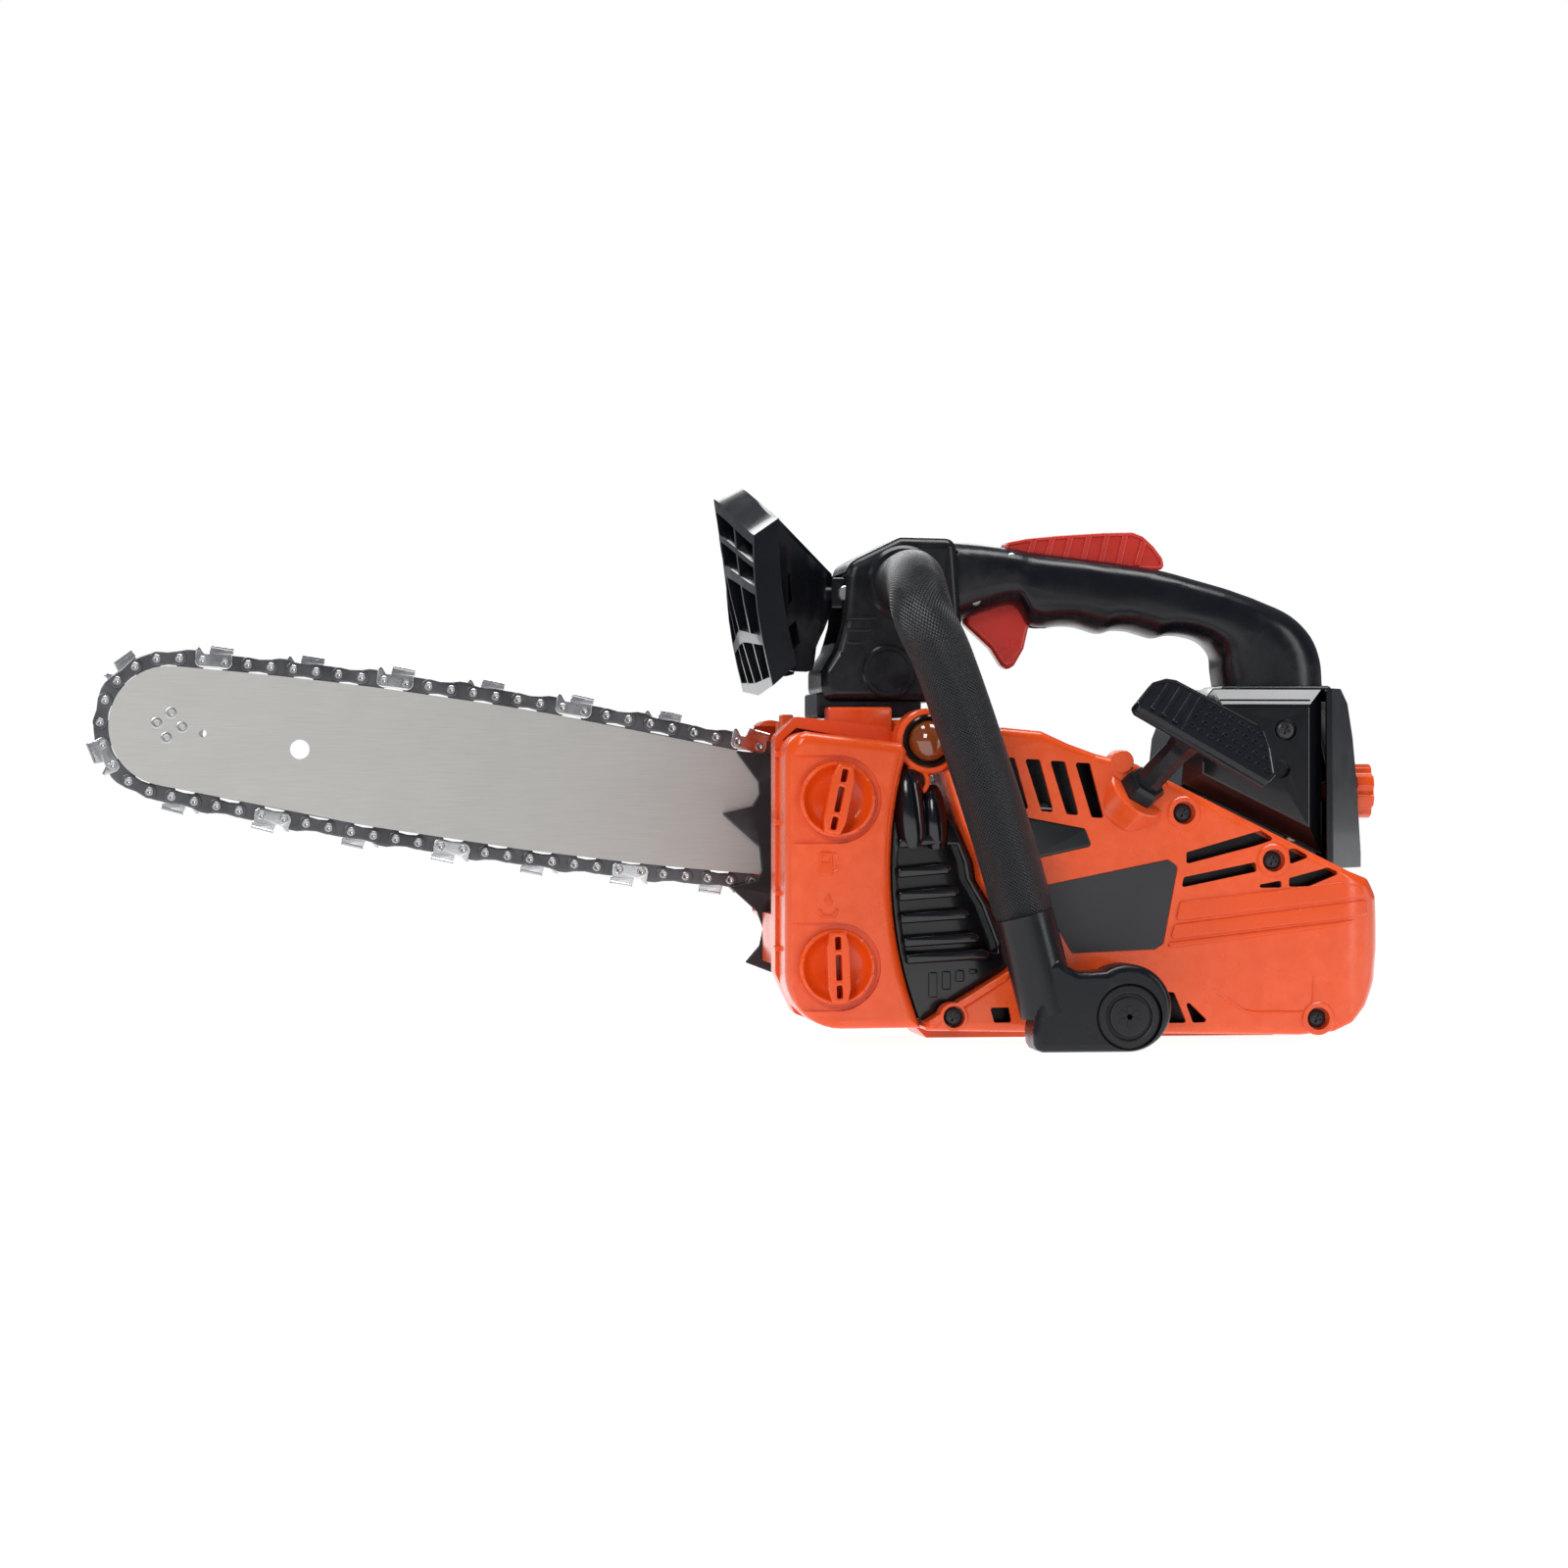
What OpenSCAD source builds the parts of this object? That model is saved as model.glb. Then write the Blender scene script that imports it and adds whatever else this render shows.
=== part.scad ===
/* [Engine] */
// Height of the crankshaft axis above the resting surface
crank_z = 75.2; // [75:0.1:76]
// How far the crankshaft axis lies behind the origin (negative is towards the bar tip)
crank_x = -3.5; // [-4:0.1:-3]
// Cylinder bore radius
bore_r = 17; // [16.9:0.05:17.1]
// Half of the piston stroke
crank_throw = 14; // [13.6:0.1:14]
// Distance between the two eyes of the connecting rod
rod_len = 48; // [47.8:0.1:48.2]
// Angle of the cylinder axis above level
cylinder_tilt = 12; // [11.5:0.5:12.5]
// Flywheel outer radius
flywheel_r = 37; // [35:0.5:37]

/* [Bar and chain] */
// Upward tilt of the guide bar
bar_tilt = 8.6; // [8.5:0.1:8.7]
// Distance of the bar's middle plane from the cylinder's middle plane
bar_y = 44; // [43.9:0.1:44.1]
// Number of drive links in the chain
drive_links = 45; // [45:1:45]
// Largest half height of the chain loop, measured at the rivets
loop_half_h = 32.3; // [32.1:0.1:32.5]
// Radius of the chain's long sides at the rivets
loop_crown_r = 1777; // [1775:1:1779]
// Radius of the rivet circle round the bar's nose
nose_rivet_r = 28; // [27.9:0.05:28.1]
// Radius of the rivet circle round the drive sprocket
drive_rivet_r = 18; // [17.9:0.05:18.1]

/* [Casings] */
// Position of the tank's outer face
tank_face = -66; // [-66.5:0.5:-65.5]
// Position of the starter cover's outer face
cover_face = -70; // [-70.5:0.5:-69.5]
// Wall thickness of the moulded covers
wall = 2.4; // [2.2:0.1:2.6]

/* [Handles] */
// Distance of the front handle tube from the cylinder's middle plane
tube_y = -95; // [-96:0.5:-95]
// Outer radius of the front handle grip
grip_r = 11.8; // [11.5:0.1:12]
// Half width of the top handle
handle_half_w = 18; // [17:0.5:18]

/* [Hidden] */
$fn = 40;

orange = [0.91, 0.30, 0.07];
black = [0.09, 0.09, 0.10];
steel = [0.72, 0.72, 0.70];
alloy = [0.66, 0.67, 0.68];
red = [0.83, 0.16, 0.09];

run_gap = 0.04;

// ---- placing helpers ----

// An outline drawn as (X, Z), made solid between two Y planes
module slab(y0, y1)
  translate([0, y1, 0]) rotate([90, 0, 0]) linear_extrude(y1 - y0) children();

// A round bar along Y, along X, and between two points
module rod_y(x, z, r, y0, y1)
  translate([x, y1, z]) rotate([90, 0, 0]) cylinder(r=r, h=y1 - y0);
module rod_x(y, z, r, x0, x1)
  translate([x0, y, z]) rotate([0, 90, 0]) cylinder(r=r, h=x1 - x0);
module rod_to(p, q, r) {
  d = q - p;
  translate(p) rotate([0, acos(d[2] / norm(d)), atan2(d[1], d[0])])
    cylinder(r=r, h=norm(d));
}

// A block given by its two corners
module block(a, b) translate(a) cube(b - a);

// A ring along Y round the crankshaft axis
module crank_disc(r, y0, y1) rod_y(crank_x, crank_z, r, y0, y1);

// The cylinder's own frame: +Z along its axis, +X upwards
module along_cylinder()
  translate([crank_x, 0, crank_z]) rotate([0, cylinder_tilt - 90, 0]) children();

// The spark plug's own frame, inside the cylinder's frame
plug_lean = 60;
module along_plug() along_cylinder() translate([4, 0, 73.4]) rotate([0, plug_lean, 0]) children();

// The bar's own outline plane: first number towards the tip, second number upwards
module bar_slab(y0, y1)
  slab(y0, y1) translate([crank_x, crank_z]) rotate(-bar_tilt) mirror([1, 0]) children();
function bar_point(s, t) = [crank_x - s * cos(bar_tilt) + t * sin(bar_tilt),
  crank_z + s * sin(bar_tilt) + t * cos(bar_tilt)];

// The starter rope's own frame: +Z along the pull, +X along the grip's long side
pull_dir = [0.45, -0.65, 0.61];
collar = [34.2, -68, 99.3];
module along_pull()
  translate(collar)
    rotate([0, acos(pull_dir[2] / norm(pull_dir)), atan2(pull_dir[1], pull_dir[0])])
      rotate([0, 0, 54]) children();

// A smoothed outline
module soft(r) offset(r) offset(-r) children();

// ---- engine core ----

web_r = 21.5;
web_in = 2.8;
web_out = 8.8;
seat_top = 34;
piston_low = rod_len - crank_throw;
carb_z = 88;

module case_half_outline() {
  crank_disc(31, 0, 22);
  along_cylinder() block([-22, 0, 10], [22, 22, seat_top]);
  block([20, 0, carb_z - 14], [30, 14, carb_z + 14]);
  block([crank_x - 20, 2, 4], [crank_x + 20, 18, 60]);
}
module case_half_spaces() {
  crank_disc(29, -1, 9.5);
  crank_disc(14 + run_gap, 9, 19);
  crank_disc(9, 18, 60);
  along_cylinder() cylinder(r=18, h=seat_top + 1);
  rod_x(0, carb_z, 7, 12, 31);
}
module crankcase_left() color(alloy) mirror([0, 1, 0]) difference() {
  case_half_outline();
  case_half_spaces();
}
pad_s = [28, 84];
stud_s = [45, 75];
module crankcase_right() color(alloy) difference() {
  union() {
    case_half_outline();
    bar_slab(20, 41.6) translate([pad_s[0], -17]) square([pad_s[1] - pad_s[0], 34]);
    block([-36.6, 16, 4], [-26.7, 26.5, 70]);
  }
  case_half_spaces();
  for (s = stud_s) bar_slab(24, 42) translate([s, 0]) circle(r=4 + run_gap);
  bar_slab(35, 42) translate([53.5, -15]) square([32.5, 8]);
  bar_rod(49, 58, screw_t, 38.6, 2 + run_gap);
  along_cylinder() translate([0, 0, seat_top + 0.05]) block([-27, -30, 0], [27, 27, 60]);
}

module crank_bearings() color(steel) for (m = [0, 1]) mirror([0, m, 0]) difference() {
  crank_disc(14, 10, 18);
  crank_disc(6 + run_gap, 9, 19);
}

module crankshaft() color(steel) {
  for (m = [0, 1]) mirror([0, m, 0]) crank_disc(web_r, web_in, web_out);
  crank_disc(6, 8, 22);
  crank_disc(5, 21, 66);
  crank_disc(6, -22, -8);
  crank_disc(5, -53, -21);
}

rod_half = 2.5;
module connecting_rod() color(steel) difference() {
  union() {
    along_cylinder() {
      translate([0, rod_half, -crank_throw]) rotate([90, 0, 0]) cylinder(r=7.5, h=2 * rod_half);
      translate([0, rod_half, piston_low]) rotate([90, 0, 0]) cylinder(r=6.5, h=2 * rod_half);
      block([-3.5, -1.6, -crank_throw], [3.5, 1.6, piston_low]);
    }
  }
  along_cylinder() {
    translate([0, 5, -crank_throw]) rotate([90, 0, 0]) cylinder(r=4.5 + run_gap, h=10);
    translate([0, 5, piston_low]) rotate([90, 0, 0]) cylinder(r=4 + run_gap, h=10);
  }
}
module crank_pin() color(steel) along_cylinder()
  translate([0, rod_half, -crank_throw]) rotate([90, 0, 0]) cylinder(r=4.5, h=2 * rod_half);

module piston() color(alloy) along_cylinder() translate([0, 0, piston_low]) difference() {
  translate([0, 0, -10.5]) cylinder(r=bore_r - run_gap, h=21.5);
  translate([0, 0, -11]) cylinder(r=13.5, h=19.5);
  translate([0, 20, 0]) rotate([90, 0, 0]) cylinder(r=4 + run_gap / 2, h=40);
  for (z = [5, 8]) translate([0, 0, z]) difference() {
    cylinder(r=20, h=1.2);
    translate([0, 0, -1]) cylinder(r=16, h=4);
  }
}
module piston_pin() color(steel) along_cylinder()
  translate([0, 15.5, piston_low]) rotate([90, 0, 0]) cylinder(r=4, h=31);

fin_r = 25;
head_top = 84;
module engine_cylinder() color(alloy) difference() {
  union() {
    along_cylinder() {
      translate([0, 0, seat_top + 0.1]) cylinder(r=20.5, h=head_top - seat_top - 2);
      block([-22, -22, seat_top + 0.1], [22, 22, seat_top + 4]);
      for (i = [0 : 8]) translate([0, 0, 43 + 4.8 * i]) cylinder(r=fin_r, h=1.8);
      block([-25.5, -10, 56], [-12, 10, 68]);
    }
    along_plug() translate([0, 0, 4]) cylinder(r=8.5, h=11);
  }
  along_cylinder() translate([0, 0, seat_top - 1]) cylinder(r=bore_r, h=42);
  along_cylinder() block([-30, -7, 58], [-12, 7, 66]);
  along_plug() translate([0, 0, -3]) cylinder(r=5 + run_gap, h=19);
  along_plug() translate([0, 0, 15]) cylinder(r=9, h=30);
}

module spark_plug() color(steel) along_plug() {
  translate([0, 0, 8.6]) cylinder(r=5, h=6.4);
  translate([0, 0, 15]) cylinder(r=8, h=5, $fn=6);
  translate([0, 0, 20]) cylinder(r=3.6, h=8);
}
module plug_cap() color(black) along_plug() difference() {
  union() {
    translate([0, 0, 20.4]) cylinder(r=6.2, h=13.6);
    translate([0, 0, 29]) rotate([0, -90, 0]) cylinder(r=3.5, h=14);
  }
  translate([0, 0, 20]) cylinder(r=3.9, h=9);
}

// ---- ignition side ----

coil_at = 340;
module at_coil() translate([crank_x, 0, crank_z]) rotate([0, -coil_at, 0]) children();
module ignition_coil() color(black) at_coil() difference() {
  union() {
    block([flywheel_r + 8, -44, -13], [flywheel_r + 20, -30, 13]);
    for (z = [-10, 5]) block([flywheel_r + 1, -41, z], [flywheel_r + 9, -33, z + 5]);
  }
  translate([0, -20, 0]) rotate([90, 0, 0]) cylinder(r=flywheel_r + 0.5, h=40);
}

module flywheel() {
  color(alloy) difference() {
    union() {
      crank_disc(flywheel_r, -32, -28);
      crank_disc(13, -46, -24);
      for (a = [0 : 18 : 359]) translate([crank_x, 0, crank_z]) rotate([0, a, 0])
        block([12, -44, -0.9], [flywheel_r - 1, -31, 0.9]);
      translate([crank_x, 0, crank_z]) rotate([0, 100, 0])
        block([flywheel_r - 9, -43, -10], [flywheel_r - 2.5, -31, 10]);
    }
    crank_disc(5 + run_gap, -60, 0);
  }
  color(steel) difference() {
    translate([crank_x, -46.1, crank_z]) rotate([90, 0, 0]) cylinder(r=8, h=5, $fn=6);
    crank_disc(5 + run_gap, -60, 0);
  }
}

pulley_r = 20.5;
module starter_pulley() color(black) difference() {
  union() {
    crank_disc(pulley_r, -65, -63.4);
    crank_disc(14.5, -64, -57);
    crank_disc(pulley_r, -58, -56.4);
  }
  crank_disc(4 + run_gap, -70, -50);
}
module starter_rope() color(black) difference() {
  crank_disc(18.5, -63.2, -58.2);
  crank_disc(14.7, -66, -50);
}
module recoil_spring() color(steel) for (i = [0 : 4]) difference() {
  crank_disc(8.6 + 2.6 * i, -67.4, -65.4);
  crank_disc(7.6 + 2.6 * i, -68, -65);
}

grip_reach = 41;
module starter_grip() color(black) along_pull() {
  translate([0, 0, -3]) cylinder(r=8.6, h=11, $fn=6);
  translate([0, 0, 7]) cylinder(r=5.6, h=grip_reach - 8, $fn=8);
  translate([0, 0, grip_reach - 2]) linear_extrude(5.5)
    polygon([[-29, -11.5], [-30.5, -9], [-24, 8], [-18, 15], [-13.5, 17.5], [26, 20], [29.5, 18],
      [33, 9], [35.3, -5], [32, -12]]);
}

// ---- clutch side ----

module oil_pump() color(alloy) difference() {
  union() {
    crank_disc(15, 22.4, 31);
    bar_slab(22.4, 29) translate([-13, -36]) square([26, 24]);
  }
  crank_disc(5.5, 20, 40);
}
module clutch_hub() {
  color(steel) difference() {
    crank_disc(9, 51.5, 61.5);
    crank_disc(5 + run_gap, 40, 70);
  }
  for (a = [0, 180]) color(steel) translate([crank_x, 0, crank_z]) rotate([0, a, 0])
    translate([-crank_x, 0, -crank_z]) difference() {
      crank_disc(26, 52, 61);
      crank_disc(9.4, 50, 63);
      block([crank_x - 40, 50, crank_z - 40], [crank_x + 40, 63, crank_z + 2]);
    }
  color(steel) for (y = [61.3, 51]) difference() {
    crank_disc(16, y, y + 0.6);
    crank_disc(14, y - 1, y + 1);
  }
}
drum_r = 29;
module clutch_drum() color(steel) difference() {
  union() {
    crank_disc(14.4, 40.6, 42);
    crank_disc(8.6, 40.6, 49);
    crank_disc(14.4, 46.4, 47.8);
    crank_disc(drum_r, 48.6, 63.5);
  }
  crank_disc(27.4, 50.2, 70);
  crank_disc(6.5, 40, 70);
}
module brake_band() color(steel) {
  difference() {
    crank_disc(drum_r + 1.6, 51, 62);
    crank_disc(drum_r + 0.8, 50, 63);
    block([crank_x - 40, 50, crank_z + 14], [crank_x - 12, 63, crank_z + 40]);
  }
  rod_to([-30, 56, 97], [-62, 56, 108], 3);
}

cover_out = 69;
cover_outline_points = [[-104, 47], [-60, 43], [-22, 38], [0, 37], [20, 43], [33, 58],
  [35.5, 76], [32, 94], [20, 106], [0, 113], [-20, 117], [-60, 123], [-104, 131]];
module cover_outline() soft(6) polygon(cover_outline_points);
module clutch_cover() color(orange) difference() {
  union() {
    slab(42, cover_out) cover_outline();
    slab(34.3, 43) intersection() {
      cover_outline();
      translate([-14, 30]) square([60, 90]);
    }
  }
  slab(30, cover_out - wall) offset(-wall) cover_outline();
  block([-120, 30, 50], [-90, cover_out - wall, 127.5]);
  block([-16, 30, 47], [-10, 43, 105]);
  for (s = stud_s) bar_slab(40, 80) translate([s, 0]) circle(r=4.3);
  for (i = [0 : 4]) translate([-12 + 7 * i, 60, 52 + 4 * i]) cube([3.2, 20, 34 - 4 * i]);
}
module bar_studs() color(steel) for (s = stud_s)
  bar_slab(28, 76) translate([s, 0]) circle(r=4);
module bar_nuts() color(steel) for (s = stud_s) bar_slab(cover_out + 0.1, 75.5)
  translate([s, 0]) difference() {
    union() {
      circle(r=7.4, $fn=6);
      circle(r=6.8);
    }
    circle(r=4 + run_gap);
  }
screw_t = -11;
module tension_screw() color(steel) difference() {
  union() {
    bar_rod(50, 82, screw_t, 38.6, 2);
    bar_rod(81, 84, screw_t, 38.6, 3);
  }
  bar_rod(83, 85, screw_t, 38.6, 1.4);
}
module bar_rod(s0, s1, t, y, r) {
  p = bar_point(s0, t);
  q = bar_point(s1, t);
  rod_to([p[0], y, p[1]], [q[0], y, q[1]], r);
}
module tension_block() color(steel) difference() {
  union() {
    bar_slab(35.6, 41.4) translate([59, screw_t - 3]) square([7, 6]);
    bar_slab(41, 45.8) translate([62.5, screw_t]) circle(r=2.4);
  }
  bar_rod(50, 84, screw_t, 38.6, 2 + run_gap);
}
module bumper_spikes() color([0.14, 0.14, 0.15]) slab(38, 40.8) difference() {
  polygon([[-90.5, 24], [-96, 24], [-109, 29], [-103, 36], [-101.5, 43], [-104, 50],
    [-115.5, 60.5], [-104, 63], [-102, 67], [-103, 77], [-118.7, 91], [-106, 94],
    [-103, 99], [-103.4, 104], [-113, 117], [-101, 116], [-92, 110], [-90.5, 100]]);
  for (z = [38, 54]) translate([-95, z]) circle(r=2.6);
}

// ---- bar and chain ----

rivet_count = 2 * drive_links;
crown_mid = sqrt((loop_crown_r - drive_rivet_r) ^ 2 - (loop_crown_r - loop_half_h) ^ 2);
crown_tip = sqrt((loop_crown_r - nose_rivet_r) ^ 2 - (loop_crown_r - loop_half_h) ^ 2);
nose_s = crown_mid + crown_tip;
lean_drive = asin(crown_mid / (loop_crown_r - drive_rivet_r));
lean_nose = asin(crown_tip / (loop_crown_r - nose_rivet_r));
long_len = loop_crown_r * (lean_drive + lean_nose) * PI / 180;
nose_len = nose_rivet_r * (180 - 2 * lean_nose) * PI / 180;
drive_len = drive_rivet_r * (180 - 2 * lean_drive) * PI / 180;
loop_len = 2 * long_len + nose_len + drive_len;

// A point of the rivet line, at a length u from the drive sprocket's top
function on_crown(a, side) = [crown_mid + loop_crown_r * sin(a),
  side * (loop_crown_r * cos(a) - loop_crown_r + loop_half_h)];
function on_loop(u) =
  u < long_len ? on_crown(u / loop_crown_r * 180 / PI - lean_drive, 1)
  : u < long_len + nose_len ?
    let (a = lean_nose + (u - long_len) / nose_rivet_r * 180 / PI)
    [nose_s + nose_rivet_r * sin(a), nose_rivet_r * cos(a)]
  : u < 2 * long_len + nose_len ?
    on_crown(lean_nose - (u - long_len - nose_len) / loop_crown_r * 180 / PI, -1)
  : let (a = 180 + lean_drive + (u - 2 * long_len - nose_len) / drive_rivet_r * 180 / PI)
    [drive_rivet_r * sin(a), drive_rivet_r * cos(a)];
function rivet(i) = on_loop(((i + 0.5) % rivet_count) * loop_len / rivet_count);

// Places an outline on the link between rivets i and i + 1, with +X along the chain
module on_link(i) {
  p = rivet(i);
  q = rivet(i + 1);
  translate(p) rotate(atan2(q[1] - p[1], q[0] - p[0])) children();
}
function link_len(i) = norm(rivet(i + 1) - rivet(i));

link_r = 3;
rivet_r = 1.6;
rail_drop = 3.2;
tang = 7.4;
drive_half = 0.65;
strap_in = 0.75;
strap_out = 1.85;
module link_holes(len) {
  circle(r=rivet_r + 0.05);
  translate([len, 0]) circle(r=rivet_r + 0.05);
}
module drive_link_outline(len) difference() {
  union() {
    circle(r=link_r);
    translate([len, 0]) circle(r=link_r);
    polygon([[-1, link_r], [len + 1, link_r], [len + 1.6, -2.5], [len - 1.4, -tang],
      [len / 2 - 0.8, -tang], [-1.5, -2.5]]);
  }
  link_holes(len);
}
module strap_outline(len) difference() {
  union() {
    circle(r=link_r);
    translate([len, 0]) circle(r=link_r);
    translate([0, -2.7]) square([len, 5.4]);
  }
  link_holes(len);
}
module cutter_outline(len) difference() {
  union() {
    circle(r=link_r);
    translate([len, 0]) circle(r=link_r);
    polygon([[-2.6, -1.5], [len + 2, -1.5], [len + 3.4, 4.6], [len + 1.6, 5.4],
      [len - 1.6, 2.6], [len - 2.6, 2.6], [len - 3.2, 6.6], [-3, 6]]);
  }
  link_holes(len);
}
function cutter_side(i) = floor(i / 2) >= 44 ? 0
  : floor(i / 2) % 4 == 1 ? -1 : floor(i / 2) % 4 == 3 ? 1 : 0;

module drive_link_set() color(steel) for (i = [0 : 2 : rivet_count - 1])
  bar_slab(bar_y - drive_half, bar_y + drive_half) on_link(i) drive_link_outline(link_len(i));
module tie_strap_set() color(steel) for (i = [1 : 2 : rivet_count - 1]) for (side = [-1, 1])
  if (cutter_side(i) != side)
    bar_slab(bar_y + min(side * strap_in, side * strap_out),
      bar_y + max(side * strap_in, side * strap_out)) on_link(i) strap_outline(link_len(i));
module cutter_set() color([0.8, 0.8, 0.8]) for (i = [1 : 2 : rivet_count - 1])
  if (cutter_side(i) != 0) {
    side = cutter_side(i);
    bar_slab(bar_y + min(side * strap_in, side * strap_out),
      bar_y + max(side * strap_in, side * strap_out)) on_link(i) cutter_outline(link_len(i));
    bar_slab(bar_y + min(side * 3.2, side * strap_out), bar_y + max(side * 3.2, side * strap_out))
      on_link(i) polygon([[-3, 4.6], [5.8, 5.4], [6, 6.6], [-3, 6]]);
  }
module chain_rivets() color(steel) for (i = [0 : rivet_count - 1])
  bar_slab(bar_y - 2.3, bar_y + 2.3) translate(rivet(i)) circle(r=rivet_r);

rail_gap = 0.2;
groove = 8.4;
hub_r = 9;
star_r = 19.2;
tail_s = 22;
// The bar's outline, drawn in from the rail by an inset
module bar_outline(inset) {
  rail_r = loop_crown_r - rail_drop - rail_gap - inset;
  intersection() {
    translate([crown_mid, loop_half_h - loop_crown_r]) circle(r=rail_r, $fn=720);
    translate([crown_mid, loop_crown_r - loop_half_h]) circle(r=rail_r, $fn=720);
    translate([tail_s + inset, -40]) square([nose_s - tail_s - inset, 80]);
  }
  translate([nose_s, 0]) circle(r=nose_rivet_r - rail_drop - rail_gap - inset);
}
module bar_holes() {
  translate([stud_s[0] - 4.3, -4.1]) square([stud_s[1] - stud_s[0] + 15.5, 8.2]);
  translate([62.5, screw_t]) circle(r=2.4 + run_gap);
  translate([nose_s - 54, -1.5]) circle(r=4);
  translate([nose_s - 14, -1]) circle(r=1.5);
}
module guide_bar() {
  color([0.80, 0.80, 0.77]) {
    for (y = [bar_y - 2, bar_y + 0.85]) bar_slab(y, y + 1.15) difference() {
      bar_outline(0);
      bar_holes();
    }
    bar_slab(bar_y - 0.85, bar_y + 0.85) {
      difference() {
        bar_outline(groove);
        bar_holes();
        translate([nose_s, 0]) circle(r=star_r + 1.4);
      }
      translate([nose_s, 0]) circle(r=hub_r);
    }
  }
}
module nose_sprocket() color(steel) bar_slab(bar_y - 0.6, bar_y + 0.6)
  translate([nose_s, 0]) difference() {
    union() {
      circle(r=14);
      for (i = [0 : 8]) rotate(40 * i) polygon([[10, -4.4], [star_r - 0.4, -1.2],
        [star_r - 0.4, 1.2], [10, 4.4]]);
    }
    circle(r=hub_r + run_gap);
  }

// ---- chassis, muffler and intake ----

module chassis_outline() polygon([[-98, 30], [-96.4, 21.6], [-91.6, 14.2], [-84.4, 9],
  [-76, 6.5], [-46, 6], [-40, 0], [104, 0], [118, 3], [126, 10], [130, 22], [131.5, 36],
  [131, 50], [128, 60], [122, 66], [-98, 66]]);
module chassis() color(orange) {
  difference() {
    slab(-30, 36) chassis_outline();
    slab(-31, 33) offset(-3.5) chassis_outline();
    slab(-40, 60) polygon([[-94.5, 80], [-94.5, 30], [-88, 16], [-76, 10], [-44, 9.5],
      [-38, 3.5], [38, 3.5], [38, 80]]);
    block([-60, -40, -1], [140, -7, 5]);
    block([-110, -40, 50], [38, 60, 80]);
    slab(-40, -23.7) polygon([[-99, 4], [130, 4], [130, 70], [-99, 70]]);
  }
  block([-102, -18, 49], [-96, -10, 128]);
  block([-102, -18, 30], [-97.9, 36, 50]);
  block([-98, 34, 30], [-92, 37.9, 60]);
}
muffler_low = [-86, -18, 16.5];
muffler_high = [-44, 20, 48];
module muffler() color([0.35, 0.35, 0.36]) difference() {
  union() {
    block(muffler_low, muffler_high);
    block([-66, -9, 47], [-50, 9, 57.5]);
  }
  block(muffler_low + [1.5, 1.5, 1.5], muffler_high - [1.5, 1.5, 1.5]);
  block([-63, -6, 45], [-53, 6, 60]);
  rod_y(-78, 27, 4, 15, 30);
}
module intake_boot() color(black) difference() {
  union() {
    rod_x(0, carb_z, 10.5, 30.2, 63.6);
    rod_x(0, carb_z, 13, 30.2, 33);
  }
  rod_x(0, carb_z, 7, 29, 65);
}
throttle_x = 71;
choke_x = 85;
module carburettor() color(alloy) difference() {
  union() {
    block([64, -15, carb_z - 11], [92, 15, carb_z + 13]);
    block([67, -12, carb_z + 12], [89, 12, carb_z + 17]);
    block([67, -12, carb_z - 16], [89, 12, carb_z - 10]);
    rod_x(0, carb_z, 12, 91, 97.6);
  }
  rod_x(0, carb_z, 7, 60, 100);
  for (x = [throttle_x, choke_x]) rod_y(x, carb_z, 2 + run_gap, -20, 20);
}
module valve_shaft(x, lever_at, open, lever_y) color(steel) {
  rod_y(x, carb_z, 2, -19, 19.5);
  translate([x, 0, carb_z]) rotate([0, open, 0]) rotate([0, 90, 0])
    translate([0, 0, -0.4]) cylinder(r=6.6, h=0.8);
  translate([x, 0, carb_z]) rotate([0, lever_at, 0]) block([-3, lever_y, -3], [11, lever_y + 2, 3]);
}
module throttle_shaft() valve_shaft(throttle_x, -60, 0, 17);
module choke_shaft() valve_shaft(choke_x, -90, 90, -19);

// ---- air filter ----

module housing_outline() polygon([[60, 103.5], [62, 122], [67, 135], [73, 141.8],
  [118, 141.8], [118, 74.5]]);
module housing_low_outline() polygon([[60, 104], [60, 69], [118, 69], [118, 75]]);
module filter_housing() color(black) difference() {
  union() {
    slab(-40, 40) soft(3) housing_outline();
    slab(-30, 40) housing_low_outline();
    slab(-30, 40) housing_outline();
  }
  slab(-40 + wall, 40 - wall) offset(-wall) housing_outline();
  slab(-30 + wall, 40 - wall) translate([62.4, 71.4]) square([53.2, 50]);
  block([100, -40 + wall, 78], [120, 40 - wall, 139]);
  rod_x(0, carb_z, 11, 55, 65);
  rod_y(101.4, 125, 4.3, -41, -37);
}
module air_filter() color([0.85, 0.83, 0.75]) difference() {
  block([104, -33, 80], [114, 33, 136]);
  block([103, -30, 83], [109, 30, 133]);
  rod_x(0, 100.3, 5, 100, 120);
}
module filter_cover() color(black) difference() {
  intersection() {
    slab(-40, 40) polygon([[118.3, 69], [140, 69], [139, 80], [136.5, 105], [134, 122],
      [130.5, 136], [126, 141.8], [118.3, 141.8]]);
    translate([0, 0, 60]) linear_extrude(90)
      polygon([[118.3, -40], [121, -40], [139.5, -14], [139.5, 14], [121, 40], [118.3, 40]]);
  }
  intersection() {
    slab(-38, 38) polygon([[118, 71], [137.4, 71], [134, 105], [131.5, 122], [128, 134],
      [124.5, 139.4], [118, 139.4]]);
    translate([0, 0, 60]) linear_extrude(90)
      polygon([[118, -37.6], [120, -37.6], [137, -13], [137, 13], [120, 37.6], [118, 37.6]]);
  }
  rod_x(0, 100.3, 4, 120, 150);
}
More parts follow.
